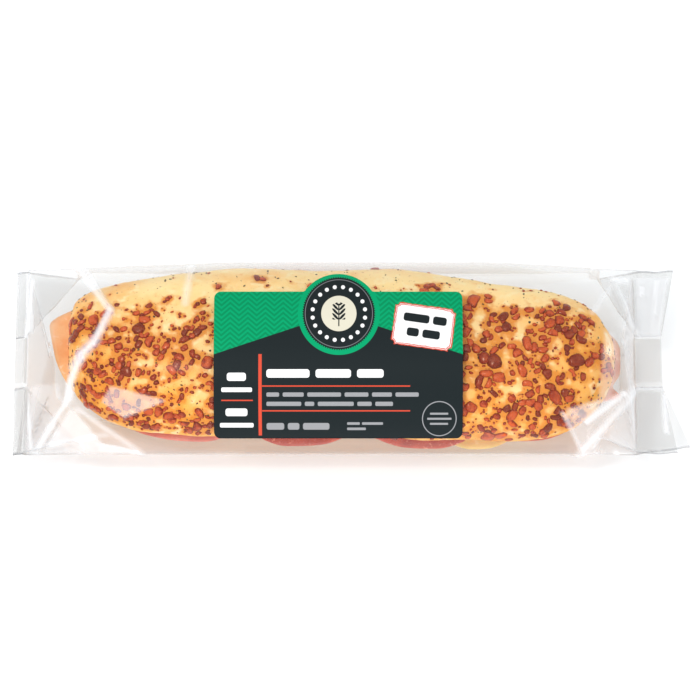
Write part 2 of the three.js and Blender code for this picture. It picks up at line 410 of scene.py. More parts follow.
@dataclass
class BagForm:
    """The bag's outer form: film drawn tight over the roll and the end seals, folded in at the sides."""

    middle_height: float = 18.0
    left: float = -110.5
    right: float = 100.0
    half_width: float = 35.0
    height: float = 50.0
    waist: float = 22.0
    tip_width: float = 0.34
    left_taper: float = 72.0
    right_taper: float = 52.0
    taper_power: float = 2.2
    taper_fullness: float = 1.9
    crown_power: float = 2.35
    crown_fall: float = 0.85
    base_power: float = 3.2
    base_lift: float = 8.0
    base_flat: float = 0.88
    seal_width: float = 74.0
    seal_thickness: float = 2.0
    neck: float = 20.0
    left_seal: Seal = Seal(-119.0, 5.0, 20.0, 0.0, 0.5, 22.0, 0.0)
    right_seal: Seal = Seal(104.0, 15.0, 0.0, 5.0, 0.8, 16.0, 10.0)
    wave_length: float = 11.0
    tuck_spread: float = math.radians(38)
    directions: int = 128
    roll_stations: int = 220
    fine_steps: int = 1500

    def __post_init__(self) -> None:
        """Works out how far the tight film reaches in each direction along the bag."""
        self.turn = TURN / self.directions
        self.angles = np.arange(self.directions) * self.turn
        swing = np.cos(np.linspace(0, math.pi, self.roll_stations))
        stations = (self.left + self.right) / 2 - (self.right - self.left) / 2 * swing
        reach = np.array([self.roll_reach(x) for x in stations])
        seal = self.seal_reach()
        ends = (self.left_seal.inner, self.right_seal.inner)
        along = np.concatenate([ends[:1], stations, ends[1:]])
        rows = np.vstack([seal, reach, seal])
        hulls = [self.tight(along, rows[:, j]) for j in range(self.directions)]
        self.fine = np.linspace(*ends, self.fine_steps)
        self.reach = np.array([spline(self.fine, hull[:, 0], hull[:, 1]) for hull in hulls])

    def taper(self, distance: float, length: float) -> float:
        """How wide the roll is near one of its tips.

        Args:
            distance: How far the section lies from the tip.
            length: How far from the tip the roll reaches its full width.

        Returns:
            The share of the full width.
        """
        inside = np.clip(distance / length, 0, 1)
        full = (1 - (1 - inside) ** self.taper_power) ** (1 / self.taper_fullness)
        return self.tip_width + (1 - self.tip_width) * full

    def roll_reach(self, x: float) -> np.ndarray:
        """How far the roll's section reaches in each direction.

        Args:
            x: Where along the bag the section lies.

        Returns:
            The reach in each of the form's directions.
        """
        from_left = self.taper(x - self.left, self.left_taper)
        share = np.minimum(from_left, self.taper(self.right - x, self.right_taper))
        cos, sin = np.cos(self.angles), np.sin(self.angles)
        lift = self.base_lift * max(0.0, 1 - share / self.base_flat) ** 2
        power = np.where(sin > 0, self.crown_power, self.base_power)
        crown = (self.height - self.waist) * share**self.crown_fall
        rise = np.where(sin > 0, crown, self.waist - lift)
        dual = power / (power - 1)
        sides = np.abs(self.half_width * share * cos) ** dual
        around = (sides + np.abs(rise * sin) ** dual) ** (1 / dual)
        return around + self.waist * sin

    def seal_reach(self) -> np.ndarray:
        """How far a flat seal reaches in each direction.

        Returns:
            The reach in each of the form's directions.
        """
        cos, sin = np.cos(self.angles), np.sin(self.angles)
        flat = self.seal_width / 2 * np.abs(cos) + self.seal_thickness / 2 * np.abs(sin)
        return flat + self.middle_height * sin

    @staticmethod
    def tight(x: np.ndarray, reach: np.ndarray) -> np.ndarray:
        """The points of a row that film drawn tight over them touches.

        Args:
            x: Rising positions along the bag.
            reach: How far the contents reach at each position.

        Returns:
            The touched points, each (position, reach).
        """
        hull: list[Place] = []
        for point in zip(x, reach):
            while len(hull) > 1:
                (ax, ar), (bx, br) = hull[-2], hull[-1]
                if (br - ar) * (point[0] - ax) > (point[1] - ar) * (bx - ax):
                    break
                hull.pop()
            hull.append(point)
        return np.array(hull)

    def corners(self, x: float) -> np.ndarray:
        """The tight section at x, as corners where neighbouring support lines cross.

        Args:
            x: Where along the bag the section lies.

        Returns:
            The corners in order round the section, each (y, z).
        """
        share = (x - self.fine[0]) / (self.fine[1] - self.fine[0])
        index = int(np.clip(share, 0, len(self.fine) - 2))
        before, beyond = self.reach[:, index], self.reach[:, index + 1]
        reach = before + (share - index) * (beyond - before)
        after = np.roll(reach, -1)
        a, b = self.angles, self.angles + self.turn
        y = (reach * np.sin(b) - after * np.sin(a)) / math.sin(self.turn)
        z = (after * np.cos(a) - reach * np.cos(b)) / math.sin(self.turn)
        return np.stack([y, z], 1)

    def tuck_share(self, x: float) -> float:
        """How far the sides have folded in.

        Args:
            x: Where along the bag the section lies.

        Returns:
            0 in the body, rising to 1 at a seal.
        """
        seals = (self.left_seal, self.right_seal)
        shares = [1 - abs(x - seal.inner) / seal.tuck_reach for seal in seals]
        return float(np.clip(max(shares), 0, 1))


class Panel(Enum):
    """The bag's panels in order round its section, with how many steps of film each is drawn in."""

    BACK_UPPER = 18
    TOP = 88
    FRONT_UPPER = 19
    FRONT_LOWER = 21
    UNDER = 60
    BACK_LOWER = 20


@dataclass
class FilmSheet:
    """The bag's film as one fine sheet: tight form, flat seals, creases with white marks, and facets with
    painted highlights, reflections and shade.
    """

    form: BagForm
    step: float = 0.85
    seal_rows: int = 16
    seal_flat: float = 0.06
    seal_press: float = 4.0
    crease_width: float = 2.4
    mark_power: float = 0.7
    facing: Place = (0.05, 0.3)
    floor_gap: float = 0.02

    def ring(self, x: float) -> np.ndarray:
        """The film's section at x, evenly spaced along each panel.

        Args:
            x: Where along the bag the section lies.

        Returns:
            The section's points in order, each (y, z).
        """
        form = self.form
        corners = form.corners(x)
        count = form.directions
        spread = round(form.tuck_spread / form.turn - 0.5)
        back = (corners[-1] + corners[0]) / 2
        front = (corners[count // 2 - 1] + corners[count // 2]) / 2
        upper = corners[: count // 2]
        lower = corners[count // 2 :]
        runs = {
            Panel.BACK_UPPER: np.vstack([back, upper[: spread + 1]]),
            Panel.TOP: upper[spread : count // 2 - spread],
            Panel.FRONT_UPPER: np.vstack([upper[count // 2 - spread - 1 :], front]),
            Panel.FRONT_LOWER: np.vstack([front, lower[: spread + 1]]),
            Panel.UNDER: lower[spread : count // 2 - spread],
            Panel.BACK_LOWER: np.vstack([lower[count // 2 - spread - 1 :], back]),
        }
        high, low = upper[spread][1], lower[spread][1]
        depth = form.tuck_share(x) * (form.seal_width - form.neck) / 2
        points = []
        for panel, run in runs.items():
            length = run_lengths(run)
            if length[-1] < TINY:
                length = np.linspace(0, 1, len(run))
            at = np.linspace(0, length[-1], panel.value, endpoint=False)
            line = np.stack([np.interp(at, length, run[:, k]) for k in (0, 1)], 1)
            if panel not in (Panel.TOP, Panel.UNDER):
                side = 1 if panel in (Panel.BACK_UPPER, Panel.BACK_LOWER) else -1
                from_middle = np.abs(2 * line[:, 1] - low - high)
                from_fold = np.minimum(1, from_middle / max(high - low, TINY))
                line[:, 0] -= side * depth * (1 - from_fold)
            points.append(line)
        return np.vstack(points)

    def seal_ring(self, seal: Seal, share: float) -> np.ndarray:
        """A row of film across a seal.

        Args:
            seal: The seal's sizes.
            share: How far along the seal the row lies, from 0 at the body to 1 at its edge.

        Returns:
            The row's points in order, each (x, y, z).
        """
        form = self.form
        ring = self.ring(seal.inner)
        y, z = ring[:, 0], ring[:, 1]
        outward = math.copysign(1, seal.inner)
        reach, droop = seal.length * share, math.radians(seal.droop)
        turn = math.sin(math.radians(seal.splay))
        along = np.maximum(0, np.abs(y) - form.neck / 2)
        wing = along / ((form.seal_width - form.neck) / 2)
        lower = np.arange(len(y)) >= sum(panel.value for panel in list(Panel)[:3])
        turned = np.where((y < 0) & lower, share * along, 0.0)
        wave = share * seal.wave * np.sqrt(wing) * math.sin(TURN * reach / form.wave_length)
        out = reach * math.cos(droop) - share * seal.pinch * (1 - wing) + turned * turn
        flattened = 1 - (1 - self.seal_flat) * min(1, self.seal_press * share)
        pressed = form.middle_height + (z - form.middle_height) * flattened
        height = pressed - reach * math.sin(droop) + wave
        return np.stack([seal.inner + outward * out, y + turned * turn / 2, height], 1)

    def rows(self) -> np.ndarray:
        """All rows of the film from end to end.

        Returns:
            The film as rows by points by (x, y, z).
        """
        form = self.form
        shares = np.linspace(0, 1, self.seal_rows)
        left = [self.seal_ring(form.left_seal, share) for share in shares[::-1]]
        right = [self.seal_ring(form.right_seal, share) for share in shares]
        count = round((form.right_seal.inner - form.left_seal.inner) / self.step)
        body = []
        for x in np.linspace(form.left_seal.inner, form.right_seal.inner, count)[1:-1]:
            ring = self.ring(x)
            body.append(np.column_stack([np.full(len(ring), x), ring]))
        return np.array([*left, *body, *right])

    def build(self) -> bpy.types.Object:
        """Makes the film as a mesh with its creases and facets as layers.

        Returns:
            The piece.
        """
        rows = self.rows()
        points = rows.reshape(-1, 3)
        normal = grid_normals(rows).reshape(-1, 3)
        seen = smooth(normal @ View.towards, *self.facing)
        place = View.flat(points)
        rise, crease_whitening_and_highlight = np.zeros(len(points)), np.zeros(len(points))
        for fold in CREASES:
            near = fold.distance(place)
            ridge = np.maximum(0, 1 - near / (fold.width * self.crease_width))
            rise += fold.height * ridge * seen
            # White marks along the folds on faces turned to the camera: partly real stress whitening,
            # partly a painted highlight.
            mark = np.maximum(0, 1 - near / fold.mark) ** self.mark_power
            crease_whitening_and_highlight = np.maximum(crease_whitening_and_highlight, fold.white * mark * seen)
        # Painted highlights and reflections in milky white on facets turned to the camera.
        painted_highlight = np.max([patch.cover(place) for patch in PAINTED_FACETS if not patch.grey], axis=0) * seen
        # Painted shade in grey on the seals' necks, low on the left seal and along the band below the roll
        # in front.
        painted_shade = np.max([patch.cover(place) for patch in PAINTED_FACETS if patch.grey], axis=0) * seen
        moved = points + normal * rise[:, None]
        moved[:, 2] = np.maximum(moved[:, 2], self.floor_gap)
        layers = {"crease_whitening_and_highlight": crease_whitening_and_highlight, "painted_highlight": painted_highlight, "painted_shade": painted_shade}
        return make_mesh("bag_film", moved, grid_faces(len(rows), rows.shape[1], True), **layers)


@dataclass(frozen=True)
class Crease:
    """A fold in the film, as a line on the plane the pack is seen in, in millimetres."""

    line: Outline
    height: float = 0.7
    width: float = 1.0
    # How white the mark is: partly real stress whitening, partly a painted highlight.
    white: float = 0.6
    mark: float = 0.7

    def distance(self, place: np.ndarray) -> np.ndarray:
        """How far places are from the fold.

        Args:
            place: Places on the plane, one to a row.

        Returns:
            A distance for each place.
        """
        best = np.full(len(place), np.inf)
        for start, end in zip(self.line, self.line[1:]):
            a, b = np.array(start), np.array(end)
            t = np.clip((place - a) @ (b - a) / ((b - a) @ (b - a)), 0, 1)
            best = np.minimum(best, np.linalg.norm(place - a - t[:, None] * (b - a), axis=1))
        return best


@dataclass(frozen=True)
class PaintedFacet:
    """A flat facet of film painted with light, by its corners on that plane: milky white as a painted
    highlight and reflection, grey as painted shade.
    """

    corners: Outline
    strength: float
    soft: float = 0.8
    # Grey facets are painted shade; the rest are painted highlights and reflections.
    grey: bool = False

    def cover(self, place: np.ndarray) -> np.ndarray:
        """How strongly places are veiled.

        Args:
            place: Places on the plane, one to a row.

        Returns:
            The veil's share of each place.
        """
        ring = np.array([*self.corners, self.corners[0]])
        inside = np.full(len(place), np.inf)
        for a, b in zip(ring, ring[1:]):
            across = np.array([b[1] - a[1], a[0] - b[0]]) / np.linalg.norm(b - a)
            inside = np.minimum(inside, (a - place) @ across)
        return self.strength * smooth(inside, 0, self.soft)


# Painted facets by their corners, strength and softness, and whether grey: milky painted highlights and
# reflections first, then grey painted shade
PAINTED_FACETS = (
    PaintedFacet(((-91.5, -14.5), (-82.5, -21.0), (-68.0, -15.0), (-66.5, -13.5), (-87.5, -8.0)), 0.28, 1.2),
    PaintedFacet(((-94.0, -28.5), (-92.0, -33.5), (-76.0, -33.8), (-77.5, -31.5)), 0.4),
    PaintedFacet(((-118.0, 30.0), (-120.2, 10.3), (-116.2, 10.3)), 0.3, 0.6),
    PaintedFacet(((-119.0, -8.4), (-122.4, -34.0), (-116.2, -34.0)), 0.16, 0.6),
    PaintedFacet(((76.5, -17.0), (86.0, -24.0), (93.0, -14.5), (90.0, -13.0)), 0.3, 1.2),
    PaintedFacet(((76.5, -18.4), (84.5, -34.2), (104.0, -34.2), (104.0, -8.4)), 0.26, 0.8),
    PaintedFacet(((111.0, 31.0), (110.5, 17.0), (113.5, 15.5), (115.5, 31.0)), 0.6, 1.5),
    PaintedFacet(((113.0, -10.0), (113.5, -26.0), (116.5, -27.0), (116.0, -12.0)), 0.5, 1.2),
    PaintedFacet(((105.2, 28.8), (105.8, 23.5), (108.4, 24.0), (108.8, 28.8)), 0.7, 1.0),
    PaintedFacet(((-114.5, -34.2), (-78.0, -34.2), (-99.5, -17.5), (-102.0, -14.5)), 0.35, 1.6),
    PaintedFacet(((-119.0, -32.0), (-114.0, -32.0), (-104.5, -14.0), (-106.0, -7.0), (-118.0, -8.0)), 0.18, 1.6),
    PaintedFacet(((88.5, -15.0), (95.5, -15.0), (98.0, -2.0), (97.0, 12.0), (91.0, 12.0)), 0.2, 2.5),
    PaintedFacet(((104.0, 9.6), (114.0, 9.6), (117.8, 31.5), (104.5, 31.5)), 0.42, 0.8),
    PaintedFacet(((103.6, -7.6), (114.0, -7.6), (114.0, 8.6), (103.6, 8.6)), 0.22, 0.6, True),
    PaintedFacet(((-124.5, -8.0), (-119.0, -8.0), (-119.0, 9.0), (-124.5, 9.0)), 0.16, 0.6, True),
    PaintedFacet(((-40.0, -34.2), (80.0, -34.2), (80.0, -29.0), (-40.0, -29.0)), 0.08, 1.5, True),
    PaintedFacet(((-124.5, -35.0), (-118.0, -35.0), (-118.0, -9.0), (-123.0, -9.0)), 0.07, 0.8, True),
)
# Folds by their line, height and width, and by how white their mark is and how broad; the white mark is
# partly real stress whitening, partly a painted highlight
CREASES = (
    Crease(((-101.0, 34.5), (-87.5, 18.5), (-93.5, 6.0)), 0.8, 1.0, 0.75, 1.5),
    Crease(((-98.5, 34.5), (-87.5, 19.0)), 0.4, 0.6, 0.55, 1.2),
    Crease(
        ((-87.5, 18.5), (-93.5, 6.5), (-98.0, 3.0), (-102.0, -7.0), (-102.6, -13.0)),
        0.9, 1.0, 1.0, 1.8,
    ),
    Crease(((-102.6, -13.0), (-109.5, -23.5), (-115.4, -34.0)), 0.8, 1.0, 0.75, 1.5),
    Crease(((-93.0, 8.0), (-98.0, 3.0), (-100.5, -2.0)), 0.0, 1.0, 0.8, 2.6),
    Crease(((-117.8, 30.0), (-119.7, 10.0), (-119.8, -8.0)), 0.0, 0.6, 0.8, 0.9),
    Crease(((-121.6, -33.5), (-119.0, -9.5), (-116.6, -33.5)), 0.0, 0.6, 0.6, 0.8),
    Crease(((-99.5, -17.0), (-76.0, -33.0)), 0.6, 1.2, 0.4, 1.2),
    Crease(((-114.0, -31.5), (-89.0, -26.0)), 0.5, 1.4, 0.3, 1.2),
    Crease(((-58.5, 34.5), (-60.5, 21.5)), 0.5, 0.9, 0.45, 1.8),
    Crease(((87.5, 18.0), (96.0, 29.0), (104.5, 9.5)), 0.8, 1.0, 0.4, 1.4),
    Crease(((104.0, -10.0), (82.0, -34.0)), 0.9, 1.1, 0.45, 1.5),
    Crease(((99.0, -11.5), (85.5, -21.5)), 0.6, 0.8, 0.5, 1.4),
    Crease(((76.5, -18.4), (84.5, -34.0)), 0.4, 0.8, 0.45, 1.0),
    Crease(((96.0, 29.0), (100.5, 29.5)), 0.9, 1.0, 0.7, 1.6),
    Crease(((104.0, 9.2), (114.0, 9.2)), 0.0, 0.6, 0.8, 1.0),
    Crease(((104.0, -9.7), (114.0, -9.7)), 0.0, 0.6, 0.7, 1.0),
)


class Finish:
    """How one kind of piece looks; each kind builds its own material."""

    name: str

    def material(self) -> bpy.types.Material:
        """Builds the material."""
        raise NotImplementedError

    def dress(self, piece: bpy.types.Object) -> None:
        """Puts the material on a piece."""
        piece.data.materials.clear()
        piece.data.materials.append(self.material())


@dataclass(frozen=True)
class CrustFinish(Finish):
    """Crust from pale gold to deep brown: partly real browning and toasting, partly painted shade low down
    in front and painted light on the far shoulder; stained round the topping and speckled.
    """

    name: str = "crust"
    # Pale gold where the crust is least brown, on the far shoulder, partly as painted light.
    pale: Colour = srgb(255, 227, 165)
    gold: Colour = srgb(246, 178, 78)
    # Deep brown low down in front: partly real toasting, partly painted shade.
    toast_and_shade: Colour = srgb(204, 112, 52)
    stain: Colour = srgb(226, 142, 46)
    cream: Colour = srgb(255, 238, 190)
    speck: Colour = srgb(120, 52, 28)
    gloss: Colour = (1.0, 0.86, 0.66)
    broad_size: float = 14
    mottle_size: float = 5
    stain_size: float = 3
    fine_size: float = 1.3
    pore_size: float = 0.5
    speck_size: float = 0.9
    speck_patch: float = 9

    def material(self) -> bpy.types.Material:
        """Builds the crust.

        Returns:
            The material.
        """
        shade = Shade(self.name)
        place = shade.place()
        browning_and_shade, stained = shade.layer("browning_and_shade"), shade.layer("stain")
        broad = shade.grain(place, self.broad_size, 3, 0.55)
        fine = shade.grain(place, self.fine_size, 3, 0.6)
        # Pale to gold by the browning-and-shade layer: real browning, with painted light on the far
        # shoulder and painted shade towards the front.
        colour = (browning_and_shade + (broad - 0.5) * 1.4).step(0.0, 0.8).blend(self.pale, self.gold)
        mottle = shade.grain(place, self.mottle_size, 2, 0.5).step(0.54, 0.68)
        colour = (mottle * 0.6).blend(colour, self.cream)
        soaked = stained + (shade.grain(place, self.stain_size, 2, 0.5) - 0.5) * 1.6
        colour = (soaked.step(0.1, 0.95) * 0.92).blend(colour, self.stain)
        # Deep brown where the crust is lowest in front: partly real toasting, partly painted shade.
        toasted = (browning_and_shade + (broad - 0.5) * 0.3).step(0.72, 1.25)
        colour = (toasted * 0.8).blend(colour, self.toast_and_shade)
        specks = shade.grain(place, self.speck_size, 1, 0.5).step(0.69, 0.74)
        specks = specks * shade.grain(place, self.speck_patch, 1, 0.5).step(0.4, 0.6)
        colour = (specks * 0.75).blend(colour, self.speck)
        height = fine * 0.6 + shade.grain(place, self.pore_size, 2, 0.6) * 0.4
        surface = shade.surface(
            Base_Color=colour,
            Roughness=(fine * 0.2 + 0.42).at_most(0.8),
            Specular_IOR_Level=0.28,
            Specular_Tint=self.gloss,
            Subsurface_Weight=0.12,
            Subsurface_Radius=(1.0, 0.45, 0.2),
            Subsurface_Scale=0.0015,
            Normal=shade.bump(height, 0.25, 0.7),
        )
        return shade.finish(surface)


@dataclass(frozen=True)
class ToppingFinish(Finish):
    """Toasted cheese bits: dark red-brown rims, partly real toasting and partly painted shade, orange-red
    domes with painted light on their tops, and a little grease.
    """

    name: str = "toasted_cheese"
    # Dark red-brown for the rims, partly real toasting and partly painted shade, and for the darkest bits.
    rim: Colour = srgb(108, 35, 14)
    body: Colour = srgb(150, 44, 18)
    # Painted light on the bits' tops.
    light: Colour = srgb(210, 94, 42)
    gloss: Colour = (1.0, 0.7, 0.5)
    fine_size: float = 0.8
    blotch_size: float = 2.2

    def material(self) -> bpy.types.Material:
        """Builds the topping.

        Returns:
            The material.
        """
        shade = Shade(self.name)
        place = shade.place()
        dome_shading, tone = shade.layer("dome_shading"), shade.layer("tone")
        fine = shade.grain(place, self.fine_size, 3, 0.6)
        blotch = shade.grain(place, self.blotch_size, 2, 0.6)
        # Painted shade, partly real toasting: each bit is darker towards its rim and lighter up its dome.
        browned_and_shaded = dome_shading + (fine - 0.5) * 0.6 + (blotch - 0.5) * 0.8
        colour = browned_and_shaded.step(0.05, 0.75).blend(self.rim, self.body)
        # Painted light: lighter on each bit's top, with some random tone.
        glow = dome_shading + (fine - 0.5) * 0.8 + (blotch - 0.5) * 1.2 + (tone - 0.5) * 0.5
        colour = (glow.step(0.55, 1.2) * 0.85).blend(colour, self.light)
        colour = ((1 - tone).step(0.5, 1.0) * 0.75).blend(colour, self.rim)
        surface = shade.surface(
            Base_Color=colour,
            Roughness=0.16 + fine * 0.12,
            Specular_IOR_Level=0.55,
            Specular_Tint=self.gloss,
            Subsurface_Weight=0.1,
            Subsurface_Radius=(1.0, 0.35, 0.2),
            Subsurface_Scale=0.001,
            Normal=shade.bump(fine * 0.2 + blotch, 0.4, 0.5),
        )
        return shade.finish(surface)


@dataclass(frozen=True)
class HerbFinish(Finish):
    """Dried herb flecks, dark olive to brown."""

    name: str = "herbs"
    dark: Colour = srgb(52, 36, 22)
    olive: Colour = srgb(96, 84, 36)
    grain_size: float = 1.5

    def material(self) -> bpy.types.Material:
        """Builds the herbs.

        Returns:
            The material.
        """
        shade = Shade(self.name)
        grain = shade.grain(shade.place(), self.grain_size, 2, 0.6)
        tone = shade.layer("tone") + (grain - 0.5) * 0.5
        colour = tone.step(0.3, 0.9).blend(self.dark, self.olive)
        surface = shade.surface(Base_Color=colour, Roughness=0.6, Normal=shade.bump(grain, 0.1))
        return shade.finish(surface)


@dataclass(frozen=True)
class MeatFinish(Finish):
    """A thin moist slice, of cured meat or cheese: mottled colour and flecks of fat."""

    name: str
    lean: Colour
    deep: Colour
    fat: Colour
    fat_size: float
    fat_low: float
    mottle_size: float = 7
    grain_size: float = 0.9

    def material(self) -> bpy.types.Material:
        """Builds the slice's material.

        Returns:
            The material.
        """
        shade = Shade(self.name)
        place = shade.place()
        mottle = shade.grain(place, self.mottle_size, 3, 0.6)
        colour = mottle.step(0.35, 0.7).blend(self.lean, self.deep)
        flecks = shade.grain(place, self.fat_size, 2, 0.6).step(self.fat_low, self.fat_low + 0.1)
        colour = (flecks * 0.7).blend(colour, self.fat)
        grain = shade.grain(place, self.grain_size, 2, 0.5)
        surface = shade.surface(
            Base_Color=colour,
            Roughness=0.3 + grain * 0.2,
            Subsurface_Weight=0.25,
            Subsurface_Radius=(1.0, 0.4, 0.3),
            Subsurface_Scale=0.002,
            Normal=shade.bump(grain, 0.15, 0.5),
        )
        return shade.finish(surface)


@dataclass(frozen=True)
class FilmFinish(Finish):
    """Clear film: glossy where it turns away, white along creases as partly real whitening and partly
    painted highlight, milky white on some facets as painted highlights and reflections, and grey on others
    as painted shade.
    """

    name: str = "film"
    tint: Colour = (0.935, 0.934, 0.931)
    white: Colour = (0.9, 0.92, 0.95)
    # Grey of the painted shade on the film's grey facets.
    grey: Colour = (0.45, 0.43, 0.41)
    bending: float = 1.45
    facing: float = 0.036
    gain: float = 2.2
    most: float = 0.45
    haze: float = 0.012
    crease_cover: float = 0.7
    most_cover: float = 0.95
    stretch: tuple[float, float, float] = (0.25, 1.0, 1.0)
    stretch_size: float = 3

    def material(self) -> bpy.types.Material:
        """Builds the film.

        Returns:
            The material.
        """
        shade = Shade(self.name)
        crease_whitening_and_highlight, painted_shade = shade.layer("crease_whitening_and_highlight"), shade.layer("painted_shade")
        lines = shade.grain(shade.place() * self.stretch, self.stretch_size, 3, 0.55)
        normal = shade.bump(lines, 0.18, 0.35)
        edge = shade.add("ShaderNodeFresnel", None, {"IOR": self.bending, "Normal": normal})
        turned = (edge - self.facing).at_least(0.0)
        cover = (turned * self.gain).at_most(self.most) + self.haze
        # Crease marks, partly painted highlight, milky painted highlights and grey painted shade all add to
        # the white cover.
        cover = cover + crease_whitening_and_highlight * self.crease_cover + shade.layer("painted_highlight") + painted_shade
        gloss = shade.surface(
            # The base colour turns grey where painted shade lies.
            Base_Color=painted_shade.step(0.0, 0.1).blend(self.white, self.grey),
            Metallic=0.15,
            Roughness=0.16 + crease_whitening_and_highlight * 0.25,
            Specular_IOR_Level=0.5,
            Normal=normal,
        )
        clear = shade.add("ShaderNodeBsdfTransparent", None, {"Color": self.tint})
        inputs = {0: cover.at_most(self.most_cover), 1: clear, 2: gloss}
        return shade.finish(shade.add("ShaderNodeMixShader", None, inputs))


@dataclass(frozen=True)
class Bars:
    """A row of plain printed bars: its start, middle line and thickness, and the length of each bar."""

    start: float
    middle: float
    thick: float
    lengths: tuple[float, ...]
    gap: float = 1.3
    rounding: float = 0.32

    @property
    def round(self) -> float:
        """Radius of the bars' corners."""
        return self.rounding * self.thick

    def spans(self) -> list[Place]:
        """Where each bar starts and ends.

        Returns:
            A start and an end for each bar.
        """
        counted = range(len(self.lengths))
        starts = [self.start + sum(self.lengths[:i]) + i * self.gap for i in counted]
        return [(low, low + length) for low, length in zip(starts, self.lengths)]


WHITE_BARS = (
    Bars(-26.0, 23.2, 3.0, (15.6, 12.8, 9.6), 2.2),
    Bars(-40.3, 22.0, 2.9, (6.9,)),
    Bars(-42.3, 17.4, 1.6, (11.1,)),
    Bars(-40.8, 9.4, 2.7, (7.9,)),
    Bars(-42.9, 4.8, 1.6, (12.2,)),
)
GREY_BARS = (
    Bars(-26.0, 15.7, 1.5, (4.6, 7.6, 12.2, 8.6, 7.2, 8.4)),
    Bars(-26.0, 12.4, 1.5, (12.6, 3.4, 13.0, 5.2, 6.4)),
    Bars(-26.0, 4.4, 2.4, (6.4, 4.2, 9.6)),
    Bars(3.2, 5.4, 0.9, (4.6, 7.6), 0.8),
    Bars(3.2, 3.5, 0.9, (6.8,)),
    Bars(33.2, 8.9, 0.7, (6.6,)),
    Bars(32.2, 7.1, 0.7, (8.8,)),
    Bars(33.2, 5.3, 0.7, (6.6,)),
)
PATCH_BARS = (
    Bars(-7.6, 2.7, 3.0, (9.4, 5.0)),
    Bars(-5.8, -2.5, 3.0, (4.4, 6.4)),
)
# Orange rules, each by its lower left and upper right corner
RULES = (
    ((-28.9, 1.1), (-27.7, 30.1)),
    ((-42.3, 13.4), (-30.9, 13.85)),
    ((-27.6, 18.5), (26.0, 18.95)),
    ((-27.6, 9.7), (26.0, 10.15)),
)


